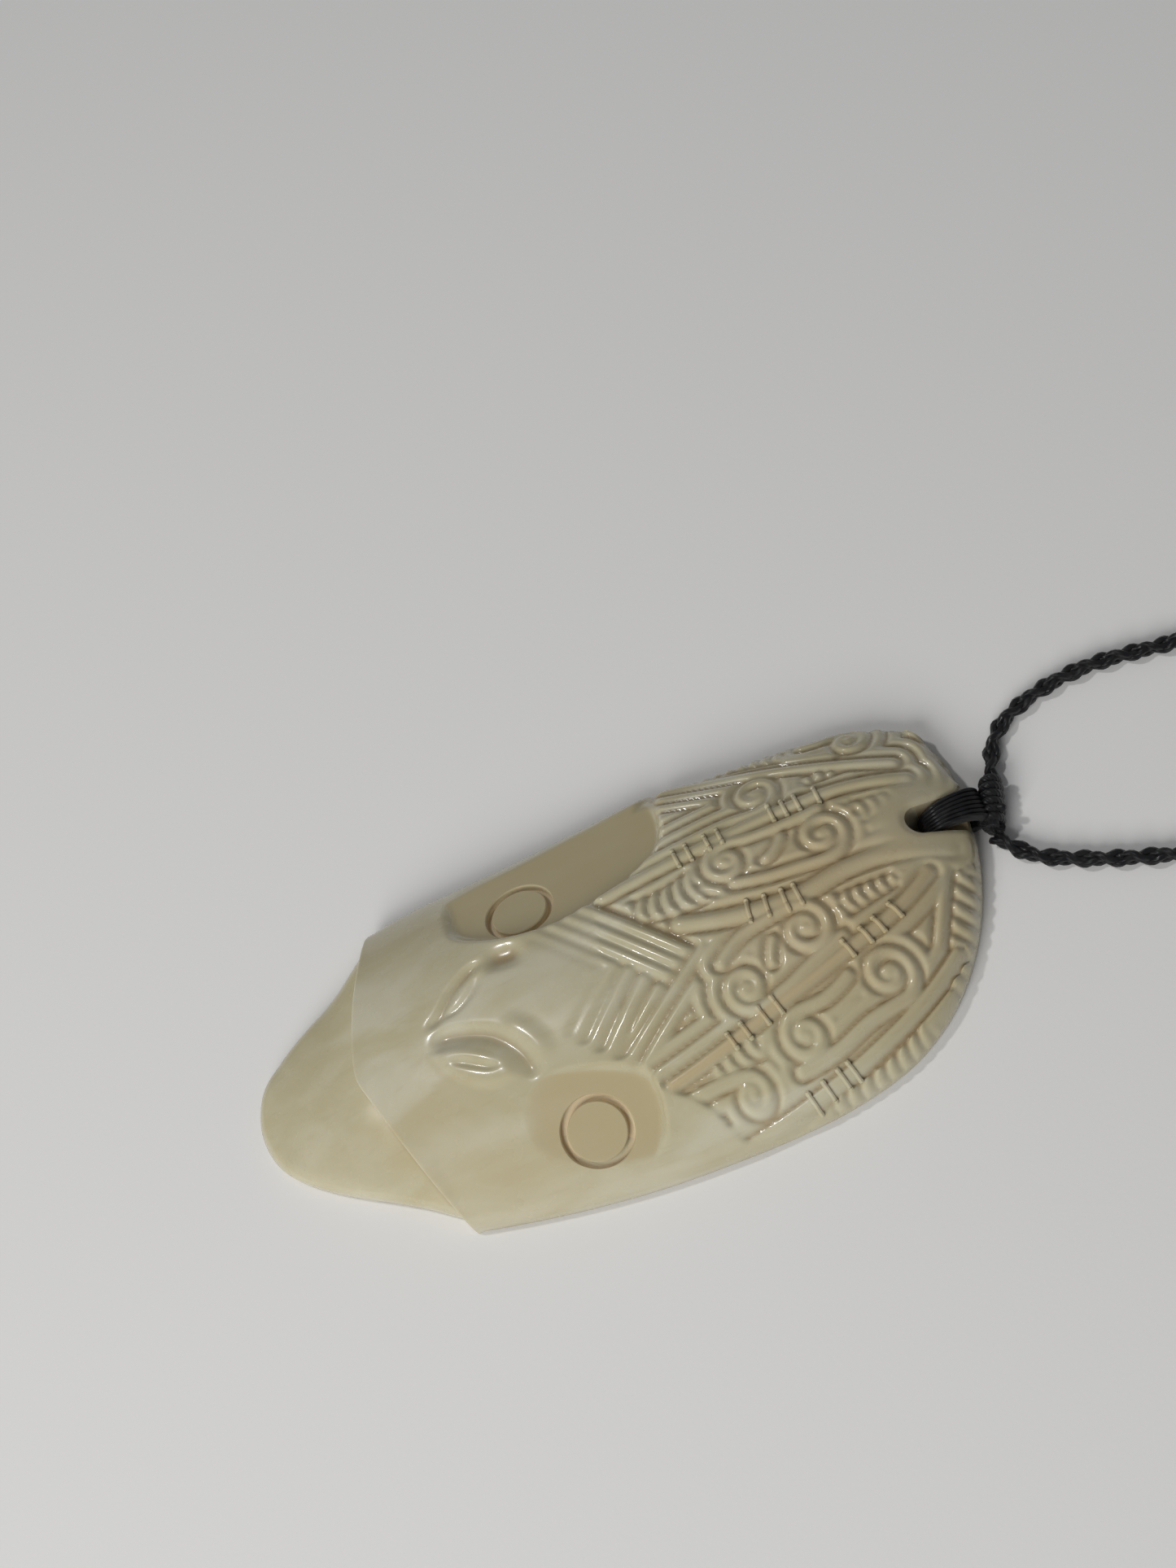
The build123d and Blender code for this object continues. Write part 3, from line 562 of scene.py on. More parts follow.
def dome(x, y):
    """The polished front of the face, without its carving."""
    along, right_side, left_side = outline_at(FACE, y)
    ridge = HALF_WIDTH * table_value(DOME, 1, along)
    rise = FACE_RISE * table_value(DOME, 2, along)
    reach = np.where(x > ridge, right_side - ridge, ridge - left_side)
    out = np.clip(np.abs(x - ridge) / np.maximum(reach, 1.0), 0.0, 1.1)
    fall = FLANK_FALL * out ** FLANK_POWER + (1 - FLANK_FALL) * out ** EDGE_POWER
    margin = np.clip((RIM_ROUNDING - (1 - out) * reach) / RIM_ROUNDING, 0.0, 0.97)
    return RIM_HEIGHT + rise * (1 - fall) - RIM_DROP * RIM_ROUNDING * (1 - np.sqrt(1 - margin ** 2))


def tongue_top(x, y):
    """The tongue, which runs up under the lip."""
    along, right_side, left_side = outline_at(TONGUE, y)
    reach = np.maximum((right_side - left_side) / 2, 2.0)
    out = np.clip(np.abs(x - (right_side + left_side) / 2) / reach, 0.0, 1.0)
    rise = TONGUE_RISE * (1 - np.clip(1 - along / TONGUE[-1, 0], 0.0, 1.0) ** TONGUE_POWER)
    return RIM_HEIGHT - TONGUE_SUNK + rise * (1 - TONGUE_FALL * out ** TONGUE_POWER)


print("brow", round(float(dome(np.array(0.0), np.array(5.0))), 2), "mm high")

# %% [markdown]
# ## The carving of the hair
#
# The hair is carved in soft, round ridges. Five long ribs fan out from the cord's slot, and two short ones
# close gaps between them. Between the ribs lie spirals with a bulb at the heart and a tail, and rows of short
# crescents. All of them are traditional forms. Here each one is a line drawn on the face in mm, across and up
# from the chin, and a ridge follows the line. What lies between them is filled with ridges that echo the
# nearest line at an even pitch, as a carver would fill it.

# %% Lines of the hair: across, and up from the chin
RIBS = [
    (1.25, [(1.2, 85.6), (0.2, 80.0), (0.3, 74.0), (1.3, 68.6), (0.8, 62.0), (-1.2, 55.3)]),
    (1.05, [(-8.6, 85.0), (-9.9, 78.0), (-9.9, 70.0), (-9.3, 58.0), (-8.6, 47.5)]),
    (1.00, [(-11.2, 84.5), (-14.2, 76.5), (-16.9, 70.2), (-19.6, 64.0), (-22.3, 58.0)]),
    (0.85, [(3.5, 82.5), (6.7, 77.0), (9.0, 70.5), (11.6, 61.4), (13.4, 54.0), (14.5, 47.3)]),
    (0.85, [(12.5, 81.5), (16.7, 74.9), (19.4, 68.0), (21.3, 60.0), (22.4, 50.8)]),
    (0.80, [(-6.4, 69.4), (-5.2, 68.2), (-4.4, 66.8)]),
    (0.75, [(4.9, 63.9), (6.5, 63.0), (7.3, 62.7)]),
]
# Spirals: middle, radius, the direction in which the line leaves in degrees, turns, hand, and the tail
SPIRALS = [
    ((-4.7, 73.6), 2.9, 0, 1.35, -1, [(-1.9, 69.8), (-2.3, 66.0), (-3.1, 62.6)]),
    ((-6.0, 62.6), 2.4, 180, 1.2, -1, [(-8.0, 66.4), (-7.9, 70.0), (-8.2, 74.5)]),
    ((5.2, 67.6), 2.9, 180, 1.35, 1, [(2.5, 64.0), (3.2, 60.6), (5.2, 57.6)]),
    ((8.7, 59.2), 2.4, 0, 1.2, 1, [(10.4, 62.6), (9.0, 66.4), (7.3, 71.0)]),
    ((12.6, 73.6), 3.0, 0, 1.35, -1, [(16.3, 70.0), (17.8, 65.4), (18.4, 60.6)]),
    ((15.5, 62.8), 2.5, 180, 1.2, -1, [(12.7, 66.4), (11.4, 69.6)]),
    ((18.6, 54.8), 2.0, 180, 1.1, 1, [(16.4, 51.6), (16.6, 48.0)]),
    ((-13.8, 68.6), 2.7, 0, 1.3, -1, [(-11.4, 64.6), (-11.1, 59.0), (-10.6, 52.5)]),
    ((-16.9, 81.0), 2.3, 180, 1.2, 1, [(-18.6, 77.6), (-19.0, 75.6)]),
]
# Rows of crescents: the row's line, half the crescents' length, their pitch and how they are bowed
ROWS = [
    ([(-4.7, 58.8), (-4.4, 55.0), (-5.2, 50.6)], 2.6, 1.55, 1.0),
    ([(-5.9, 78.2), (-6.4, 82.4)], 1.6, 1.4, 0.6),
    ([(4.2, 72.2), (3.2, 78.8)], 1.5, 1.4, -0.6),
    ([(14.2, 57.6), (15.4, 52.0)], 1.7, 1.5, 0.8),
    ([(5.0, 87.0), (10.2, 83.6), (16.0, 79.6)], 2.2, 1.9, 0.7),
    ([(19.4, 75.2), (21.4, 69.6), (22.2, 62.0)], 1.7, 1.7, 0.7),
    ([(-18.9, 73.6), (-21.0, 67.4), (-22.4, 62.6)], 1.5, 1.5, 0.7),
    ([(-13.4, 79.6), (-12.6, 74.2)], 1.3, 1.4, -0.5),
]
BROW_EDGE = [(-9.0, 46.6), (1.9, 55.6), (9.6, 43.6)]
RIDGE = 0.88               # half a ridge's foot
ECHO_PITCH = 1.7
CARVING_DEPTH = 1.1         # before the polish, which takes some of it away
ROUNDNESS = 0.65           # the power of a ridge's profile
BULB = 1.25                # a spiral's heart, in half feet
COIL_START, COIL_OPENING = 0.55, 0.9  # mm from the middle, and the power by which a spiral opens
CRESCENT_TAPER = 0.45      # how much shorter the last crescent of a row is
CRESCENT_TIP = 0.9         # the length of its rounded tip, in half feet
ECHO_HEIGHT, ECHO_LAST = 0.9, 9.0  # as a share of a ridge, and mm from the brow's edge
CLEAR_OF_BROW, BROW_SIDE = 0.2, 0.7  # mm from the brow's edge to the first echo, and to full height


def up_from_chin(points):
    return np.asarray(points, float) - (0.0, FACE_LENGTH / 2)


def carved_line(points, steps=8):
    """A smooth line on the face, through places given across and up from the chin."""
    return smooth_line(up_from_chin(points), steps)


def spiral_line(middle, radius, leaves, turns, hand, tail):
    """A spiral from its bulb outwards, and on along its tail."""
    turn = np.linspace(0, 1, int(20 * turns) + 1)
    angle = math.radians(leaves) - hand * 2 * math.pi * turns * (1 - turn)
    out = COIL_START + (radius - COIL_START) * turn ** COIL_OPENING
    coil = np.asarray(middle) + out[:, None] * np.stack([np.cos(angle), np.sin(angle)], axis=1)
    end = smooth_line(np.concatenate([coil[-3:], tail]), 8)
    return up_from_chin(np.concatenate([coil[:-3], end]))


def near(line, x, y, margin=4.5):
    """Which places are near enough to a line to feel it."""
    low, high = line.min(axis=0) - margin, line.max(axis=0) + margin
    return (x > low[0]) & (x < high[0]) & (y > low[1]) & (y < high[1])


def round_top(share):
    """A ridge's profile: 1 on its line, 0 at its foot."""
    return np.maximum(0.0, 1 - share ** 2) ** ROUNDNESS


def hair_ridges(x, y):
    """The hair's ridges, from 0 in the valleys to 1 on the tops."""
    ridges = np.zeros(np.shape(x))
    edge = distance_to(up_from_chin(BROW_EDGE), x, y)[0]
    beyond = np.clip(edge - CLEAR_OF_BROW, 0.0, ECHO_LAST)  # the distance from the nearest ridge's foot
    lines = [(width, carved_line(points)) for width, points in RIBS]
    lines += [(RIDGE, spiral_line(*values)) for values in SPIRALS]
    for width, line in lines:
        here = near(line, x, y)
        distance = distance_to(line, x[here], y[here])[0]
        ridges[here] = np.maximum(ridges[here], round_top(distance / width))
        beyond[here] = np.minimum(beyond[here], distance - width)
    for (mx, my), *_ in SPIRALS:
        bulb = np.hypot(x - mx, y - my + FACE_LENGTH / 2)
        ridges = np.maximum(ridges, round_top(bulb / (BULB * RIDGE)))
    for points, half, pitch, bow in ROWS:
        line = carved_line(points)
        here = near(line, x, y)
        distance, along = distance_to(line, x[here], y[here])
        length = run_along(line)[-1]
        reach = half * (1 - CRESCENT_TAPER * along / length)
        window = np.clip((reach - distance) / (CRESCENT_TIP * RIDGE), 0.0, 1.0)
        phase = (along + bow * (distance / half) ** 2) / pitch
        crescent = round_top(2 * (phase % 1) - 1) * np.sqrt(1 - (1 - window) ** 2)
        beside = (along > 0) & (along < length)
        inside = (window > 0) & beside & (beyond[here] > 0)
        ridges[here] = np.where(inside, crescent, ridges[here])
        outside = np.where(beside, np.maximum(distance - reach, 0.0), distance)
        beyond[here] = np.where(inside, 0.0, np.minimum(beyond[here], outside))
    echo = round_top(2 * ((beyond / ECHO_PITCH) % 1) - 1)
    ridges = np.where(beyond > 0, np.maximum(ridges, ECHO_HEIGHT * echo), ridges)
    return ridges * ease(edge / BROW_SIDE)


# %% [markdown]
# ## Brow, nose and sockets
#
# The brow is a chevron. Four round bars come up from the left socket and end at a crisp edge, and four more
# run down from under them to the right socket. The nostrils are a leaf cut with two creases and an almond lid
# with a slit. Each socket is a flat facet, polished into the dome, so its height is simply that of a leaning
# plane wherever the plane lies lower than the dome.

# %% Lines of the brow and the nose
LEFT_BARS = [0.85, 2.5, 4.15, 5.75]  # mm below the brow's upper edge
RIGHT_BARS = [((0.1, 46.7), (6.4, 39.4)), ((1.4, 48.1), (7.7, 40.8)), ((3.1, 49.3), (9.0, 42.5)),
              ((4.9, 50.4), (10.0, 44.2))]
LEFT_BAR, RIGHT_BAR = 0.86, 0.95  # half a bar's foot
BARS_MEET = 4.9  # mm below the edge, where the right bars come out
LAST_BAR_END = 7.2  # mm along the edge, for the lowest left bar
LEFT_FADES = (5.6, 1.4), (3.2, 0.8)  # mm below the edge, and before its start: where it begins, and over what
RIGHT_FADES = (-1.3, 1.2), (8.6, 0.8)  # mm in from the inner bar, and down along it
BROW_DEPTH = 0.8
HAIR_BORDER = [(-24.0, 58.4), (-13.1, 56.8), (-10.7, 53.4), (-9.2, 47.0), (-9.0, 46.6), (1.9, 55.6),
               (9.6, 43.6), (14.5, 46.5), (15.7, 47.8), (17.4, 50.0), (21.0, 51.2), (24.0, 53.4)]
CREASES = [  # half its width, its depth, and its line
    (0.8, 0.75, [(-8.1, 33.0), (-7.2, 30.7), (-6.2, 28.9), (-4.9, 27.4), (-3.9, 26.2), (-3.3, 24.4)]),  # leaf
    (0.6, 0.5, [(-6.7, 32.4), (-5.4, 31.4), (-4.3, 29.9), (-3.7, 28.2), (-3.6, 26.4)]),
    (2.2, 0.8, [(-8.0, 33.2), (-7.2, 35.2), (-7.0, 38.2)]),
    (1.5, 0.65, [(-1.3, 24.2), (-1.2, 26.5), (-0.3, 28.8), (1.0, 31.0), (3.0, 32.8), (4.9, 33.8),  # lid
                 (6.6, 34.0), (7.7, 33.3)]),
    (0.6, 0.45, [(1.4, 25.6), (2.6, 27.4), (3.7, 28.9), (4.5, 30.2), (4.7, 31.2)]),  # slit
    (1.8, -0.35, [(0.4, 33.0), (2.2, 34.6), (4.4, 35.7), (6.6, 36.0)]),  # wing
]
LID_UPPER = [(-0.3, 24.0), (0.2, 26.4), (1.5, 28.9), (3.4, 31.0), (5.4, 32.2), (6.7, 32.4)]
LID_LOWER = [(-0.3, 24.0), (1.8, 24.6), (4.0, 26.0), (5.8, 28.0), (6.7, 30.2), (6.7, 32.4)]
LID_RISE = 0.45
SOCKETS = {        # along, across, height, lean to its own side and to the crown in degrees, and its corners
    "right": (0.419, 0.660, 7.5, 27.0, -1.0,
              [(0.392, 0.330), (0.500, 0.490), (0.510, 0.610), (0.498, 0.790), (0.455, 0.900), (0.385, 0.870),
               (0.342, 0.680), (0.340, 0.500), (0.352, 0.405)]),
    "left": (0.430, -0.575, 8.2, 22.0, 2.0,
             [(0.338, -0.690), (0.342, -0.560), (0.396, -0.430), (0.462, -0.370), (0.512, -0.390),
              (0.590, -0.460), (0.632, -0.590), (0.640, -0.850), (0.600, -1.060), (0.345, -1.060)]),
}
SLOT_MOUTH, SLOT_PAST, SLOT_ROUNDING = 5.2, FACE_LENGTH / 2 + 1.5, 0.8
SLOT_OUTLINE = [(SLOT_X - HOLE_RADIUS, HOLE_Y), (SLOT_X + HOLE_RADIUS, HOLE_Y),
                (SLOT_X + SLOT_MOUTH / 2, SLOT_PAST), (SLOT_X - SLOT_MOUTH / 2, SLOT_PAST)]
BARE_Y, BARE_SQUASH, BARE_EDGE = 40.2, 0.8, (3.4, 4.2)  # the smooth oval round the slot
# Soft steps: where each begins, in mm past its line, and how far it goes
HAIR_EDGE, CREASE_END, LID_EDGE, SOCKET_EDGE = (-0.315, 0.9), (-0.24, 2.0), (-0.36, 1.2), (-0.25, 0.5)
WORN_DROP, WORN_CURVE = 0.8, 0.98  # of a worn edge's radius, and how far its round goes towards upright


def over_hair_border(x, y):
    """The distance into the hair from its lower border, negative on the face's skin."""
    line = up_from_chin(HAIR_BORDER)
    side = np.where(y > np.interp(x, line[:, 0], line[:, 1]), 1.0, -1.0)
    return side * distance_to(line, x, y)[0]


def run_and_off(ends, x, y):
    """How far each place is along a straight line, and how far off to the right of it."""
    (ax, ay), (bx, by) = up_from_chin(ends)
    length = math.hypot(bx - ax, by - ay)
    ux, uy = (bx - ax) / length, (by - ay) / length
    return (x - ax) * ux + (y - ay) * uy, (x - ax) * uy - (y - ay) * ux


def brow_cut(x, y):
    """How much of the carving's depth is cut away in the brow, from 0 on the bars to 1 between them."""
    run, below = run_and_off(BROW_EDGE[:2], x, y)
    down, outer = run_and_off(RIGHT_BARS[0], x, y)
    come_out = below > BARS_MEET
    ridges = [round_top((below - middle) / LEFT_BAR) for middle in LEFT_BARS[:3]]
    last = np.hypot(below - LEFT_BARS[3], np.maximum(run - LAST_BAR_END, 0.0))
    ridges.append(round_top(last / LEFT_BAR))
    for bar in RIGHT_BARS:
        ridges.append(come_out * round_top(distance_to(up_from_chin(bar), x, y)[0] / RIGHT_BAR))
    left_part = (1 - past(below, *LEFT_FADES[0])) * (1 - past(-run, *LEFT_FADES[1]))
    right_part = past(-outer, *RIGHT_FADES[0]) * come_out * (1 - past(down, *RIGHT_FADES[1]))
    return (1 - np.max(ridges, axis=0)) * np.maximum(left_part, right_part)


def in_polygon(corners, x, y):
    """The distance into a polygon from its edge, negative outside it."""
    closed = np.concatenate([corners, corners[:1]])
    inside = np.zeros(np.shape(x), bool)
    for (ax, ay), (bx, by) in zip(closed, closed[1:]):
        if ay != by:
            inside ^= ((ay > y) != (by > y)) & (x < (bx - ax) * (y - ay) / (by - ay) + ax)
    return np.where(inside, 1.0, -1.0) * distance_to(closed, x, y)[0]


def rounded(corners, times=3):
    """A closed outline with its corners cut off again and again, which rounds them."""
    for _ in range(times):
        after = np.roll(corners, -1, axis=0)
        both = [0.75 * corners + 0.25 * after, 0.25 * corners + 0.75 * after]
        corners = np.stack(both, axis=1).reshape(-1, 2)
    return corners


def socket_turn(across, lean_out, lean_up):
    """The turn from upright to a socket's own axis."""
    side = 1 if across > 0 else -1
    return (Matrix.Rotation(math.radians(side * lean_out), 4, "Y")
            @ Matrix.Rotation(math.radians(-lean_up), 4, "X"))


def socket_at(values, x, y):
    """The height of a socket's plane over each place, and the distance into the socket from its edge."""
    along, across, height, lean_out, lean_up, corners = values
    normal = socket_turn(across, lean_out, lean_up).to_3x3() @ Vector((0, 0, 1))
    px, py = flat(along, across)
    plane = height - (normal.x * (x - px) + normal.y * (y - py)) / normal.z
    return plane, in_polygon(rounded(np.array([flat(*corner) for corner in corners])), x, y)


def worn_edge(distance, radius):
    """How far a rounded edge has dropped at some distance from it."""
    close = np.clip(1 - distance / radius, 0.0, 1.0)
    return WORN_DROP * radius * (1 - np.sqrt(1 - WORN_CURVE * close ** 2))


def front(x, y):
    """The carved front of the face."""
    hair = past(over_hair_border(x, y), *HAIR_EDGE)
    off_slot = past(np.hypot(x - SLOT_X, BARE_SQUASH * (y - BARE_Y)), *BARE_EDGE)
    height = dome(x, y) - CARVING_DEPTH * off_slot * hair * (1 - hair_ridges(x, y))
    height = height - BROW_DEPTH * (1 - hair) * brow_cut(x, y)
    for wide, deep, points in CREASES:
        line = carved_line(points, 6)
        distance, along = distance_to(line, x, y)
        from_end = np.minimum(along, run_along(line)[-1] - along)
        height = height - deep * (1 - ease(distance / wide)) * past(from_end, *CREASE_END)
    lid = in_polygon(np.concatenate([carved_line(LID_UPPER, 6), carved_line(LID_LOWER, 6)[::-1]]), x, y)
    height = height + LID_RISE * past(lid, *LID_EDGE)
    for values in SOCKETS.values():
        plane, inside = socket_at(values, x, y)
        height = height - np.maximum(height - plane, 0.0) * past(inside, *SOCKET_EDGE)
    slot = in_polygon(np.array(SLOT_OUTLINE), x, y)
    hole = HOLE_RADIUS - np.hypot(x - SLOT_X, y - HOLE_Y)
    return height - worn_edge(-np.maximum(slot, hole), SLOT_ROUNDING)


# %% [markdown]
# ## From a grid to a solid
#
# A flat grid has four sides, and so has the face: the lip, the right cheek, the crown and the left cheek. A
# Coons patch blends the four curves, so the grid's rows follow the lip at one end and the crown at the other.
# The rim is then extruded down to the back, with a worn edge there, and the back is filled. The tongue is a
# second block of the same kind, and a Boolean joins the two, which leaves the lip as a real ledge.

# %% Blocks
BACK_EDGE = ((0.5, 0.0), (0.15, 0.15), (0.0, 0.5))  # height over the back and way in from the rim
CORNER_ROOM = 1.5  # mm beside a sharp corner without the full way in


def patch(bottom, top, left, right, across_shares, along_shares):
    """The places of a Coons patch between four curves: rows along, columns across."""
    bottom, top = spread_on(bottom, across_shares)[None], spread_on(top, across_shares)[None]
    left, right = spread_on(left, along_shares)[:, None], spread_on(right, along_shares)[:, None]
    u, v = across_shares[None, :, None], along_shares[:, None, None]
    ruled_along = (1 - v) * bottom + v * top
    ruled_across = (1 - u) * left + u * right
    corners = ((1 - u) * (1 - v) * bottom[:, :1] + u * (1 - v) * bottom[:, -1:]
               + (1 - u) * v * top[:, :1] + u * v * top[:, -1:])
    return ruled_along + ruled_across - corners


def seen(places):
    """The x and the y of a grid of places."""
    return places[..., 0], places[..., 1]


def inset_of(around):
    """The way in from each point of a closed rim, and how much of an inset has room near a corner."""
    before, after = (np.roll(around, shift, axis=0) for shift in (1, -1))
    step = np.linalg.norm(after - around, axis=1)
    sharp = np.flatnonzero((unit(around - before) * unit(after - around)).sum(axis=1) < 0.8)
    way = np.concatenate([[0.0], np.cumsum(step)])
    room = np.ones(len(around))
    for corner in sharp:
        gap = np.abs(way[:-1] - way[corner])
        room = np.minimum(room, np.minimum(gap, way[-1] - gap) / (CORNER_ROOM * MM))
    ahead = unit(np.roll(around, -3, axis=0) - np.roll(around, 3, axis=0))
    return np.stack([-ahead[:, 1], ahead[:, 0]], axis=1), room[:, None]


def block(name, places, heights):
    """A closed solid whose top has the given places and heights, in mm."""
    rows, columns = heights.shape
    grid = bmesh.new()
    bmesh.ops.create_grid(grid, x_segments=columns - 1, y_segments=rows - 1, size=0.5)
    grid.verts.ensure_lookup_table()
    positions = np.concatenate([places, heights[:, :, None]], axis=2).reshape(-1, 3) * MM
    for vertex, position in zip(grid.verts, positions):
        vertex.co = position
    index = np.arange(rows * columns).reshape(rows, columns)
    loop = np.concatenate([index[0], index[1:, -1], index[-1, -2::-1], index[-2:0:-1, 0]])
    around = positions[loop, :2]
    inward, room = inset_of(around)
    ring = [grid.verts[i] for i in loop]
    for height, way_in in BACK_EDGE:
        edges = [grid.edges.get((a, b)) for a, b in zip(ring, ring[1:] + ring[:1])]
        order = {tuple(vertex.co): i for i, vertex in enumerate(ring)}
        made = bmesh.ops.extrude_edge_only(grid, edges=edges)["geom"]
        fresh = [item for item in made if isinstance(item, bmesh.types.BMVert)]
        ring = sorted(fresh, key=lambda vertex: order[tuple(vertex.co)])
        for vertex, position in zip(ring, around + inward * room * way_in * MM):
            vertex.co = (*position, height * MM)
    grid.faces.new(ring)
    bmesh.ops.recalc_face_normals(grid, faces=grid.faces)
    return from_bmesh(name, grid)


# %% The face
RIGHT_TURN, LEFT_TURN = 8, 10  # the rows of FACE where the cheeks become the crown
LIP_RINGS = (0.0, 0.05, 0.12, 0.2, 0.3, 0.42, 0.6, 0.85)  # mm of the first rows, over the rounded lip
CHEEK_STEP, HAIR_STEP, HAIR_START, COLUMNS = 0.34, 0.2, 28.0, 215
LIP_ROUNDING, POLISH_FROM, POLISH_OVER, POLISH_TIMES = 0.3, 3.0, 3.0, 2


def nearest_on(line, rows, row, side):
    """Which point of a line is nearest to a row of an outline's table, on one side."""
    return int(np.argmin(np.linalg.norm(line - flat(rows[row, 0], rows[row, side]), axis=1)))


hull = calmed(smooth_line(np.concatenate([flat(FACE[:, 0], FACE[:, 1]),
                                          flat(FACE[-2::-1, 0], FACE[-2::-1, 2])])), 0.8)
right_corner, left_corner = nearest_on(hull, FACE, RIGHT_TURN, 1), nearest_on(hull, FACE, LEFT_TURN, 2)
right_cheek, left_cheek = hull[:right_corner + 1], hull[left_corner:][::-1]
crown = hull[right_corner:left_corner + 1][::-1]
lip_line = smooth_line(flat(LIP[:, 0], LIP[:, 1]))

side_length = run_along(left_cheek)[-1]
way = np.concatenate([LIP_RINGS, np.arange(LIP_RINGS[-1] + CHEEK_STEP, HAIR_START, CHEEK_STEP),
                      np.arange(HAIR_START, side_length - HAIR_STEP / 2, HAIR_STEP), [side_length]])
face_places = patch(lip_line, crown, left_cheek, right_cheek, np.linspace(0, 1, COLUMNS), way / side_length)
face_heights = front(*seen(face_places))
polish = past(way, POLISH_FROM, POLISH_OVER)[1:-1, None]
for _ in range(POLISH_TIMES):
    inner = face_heights[1:-1, 1:-1]
    across = 0.25 * face_heights[1:-1, :-2] + 0.5 * inner + 0.25 * face_heights[1:-1, 2:]
    calm = 0.5 * across + 0.25 * face_heights[2:, 1:-1] + 0.25 * face_heights[:-2, 1:-1]
    face_heights[1:-1, 1:-1] += polish * (calm - inner)
from_lip = distance_to(lip_line[::4], *seen(face_places))[0]
face = block("bone_face_carved", face_places, face_heights - worn_edge(from_lip, LIP_ROUNDING))

# %% The tongue
TONGUE_STEP, TONGUE_COLUMNS, CHIN_ROW, CHIN_ROUNDING = 0.45, 70, 2, 1.4

edge = calmed(smooth_line(np.concatenate([flat(TONGUE[::-1, 0], TONGUE[::-1, 2]),
                                          flat(TONGUE[1:, 0], TONGUE[1:, 1])])), 1.4)
left_chin, right_chin = nearest_on(edge, TONGUE, CHIN_ROW, 2), nearest_on(edge, TONGUE, CHIN_ROW, 1)
tongue_left, tongue_right = edge[:left_chin + 1][::-1], edge[right_chin:]
chin, hidden_end = edge[left_chin:right_chin + 1], np.array([tongue_left[-1], tongue_right[-1]])
tongue_rows = int(run_along(tongue_left)[-1] / TONGUE_STEP)
tongue_places = patch(chin, hidden_end, tongue_left, tongue_right, np.linspace(0, 1, TONGUE_COLUMNS),
                      np.linspace(0, 1, tongue_rows))
from_edge = distance_to(edge[::4], *seen(tongue_places))[0]
tongue = block("tongue_block", tongue_places,
               tongue_top(*seen(tongue_places)) - worn_edge(from_edge, CHIN_ROUNDING))

# %% [markdown]
# ## The ties
#
# Groups of four ties lie across the ribs like stitches. Each is a thin ridge that thickens at both ends. They
# are finer than the grid, so each is a small tube of its own, laid over the ridges by the same heights and
# joined to the bone by a Boolean, because on the real face they are carved from it.

# %% Ties
TIES = [(0, (62.8, 64.7, 66.6, 68.5)), (1, (57.3, 59.3, 61.3, 63.3)), (1, (69.5, 71.2, 72.9, 74.6)),
        (3, (70.8, 73.0, 75.1, 77.2)), (3, (55.0, 57.1, 59.3, 61.4)), (4, (60.6, 62.4, 64.2, 65.9))]
TIE_RINGS, TIE_PAST_RIB = 13, 0.3
TIE_LOWEST, TIE_LIFT = -0.55, 0.08  # mm from the dome, and from the ridge
TIE_SIZE, TIE_SWELL, TIE_END = 0.27, 0.13, 0.22

share = np.linspace(-1, 1, TIE_RINGS)
tie_paths = []
for rib, heights_up in TIES:
    width, places = RIBS[rib]
    line = carved_line(places, 12)
    ahead = unit(np.gradient(line, axis=0))
    for height_up in heights_up:
        at = int(np.argmin(np.abs(line[:, 1] + FACE_LENGTH / 2 - height_up)))
        path = line[at] + share[:, None] * (width + TIE_PAST_RIB) * np.array([ahead[at, 1], -ahead[at, 0]])
        rise = np.maximum(front(*seen(path)), dome(*seen(path)) + TIE_LOWEST)
        tie_paths.append(np.column_stack([path, rise + TIE_LIFT]))
tie_size = TIE_SIZE + TIE_SWELL * np.abs(share) ** 4
tie_size[[0, -1]] = TIE_END
ties = tube_object("ties", tie_paths, 8, tie_size, tie_size)

# %% [markdown]
# ## Cutting the eyes and the cord's way
#
# The eyes are drilled rings, and the cord goes down a drilled hole in a slot at the crown, and along a recess
# in the back. These have vertical walls, which a height can't give, so they are cut by Booleans: each cutter
# is a small bmesh shape, and one Boolean modifier takes them all away at once.

# %% Cutters
RING_RADIUS, RING_WIDTH, RING_DEPTH, RING_CHAMFER = 4.1, 0.75, 0.9, 0.12
OVER_ALL, UNDER_ALL = 16, -1  # mm, clear of the bone above and below
SHARP = math.radians(38)


def cutter(name, shape, matrix=None):
    """A bmesh shape in mm as an object, placed by a matrix, with its faces looking out."""
    if matrix is not None:
        bmesh.ops.transform(shape, matrix=matrix, verts=shape.verts)
    bmesh.ops.scale(shape, vec=(MM, MM, MM), verts=shape.verts)
    bmesh.ops.recalc_face_normals(shape, faces=shape.faces)
    if shape.calc_volume(signed=True) < 0:
        bmesh.ops.reverse_faces(shape, faces=shape.faces)
    return from_bmesh(name, shape)


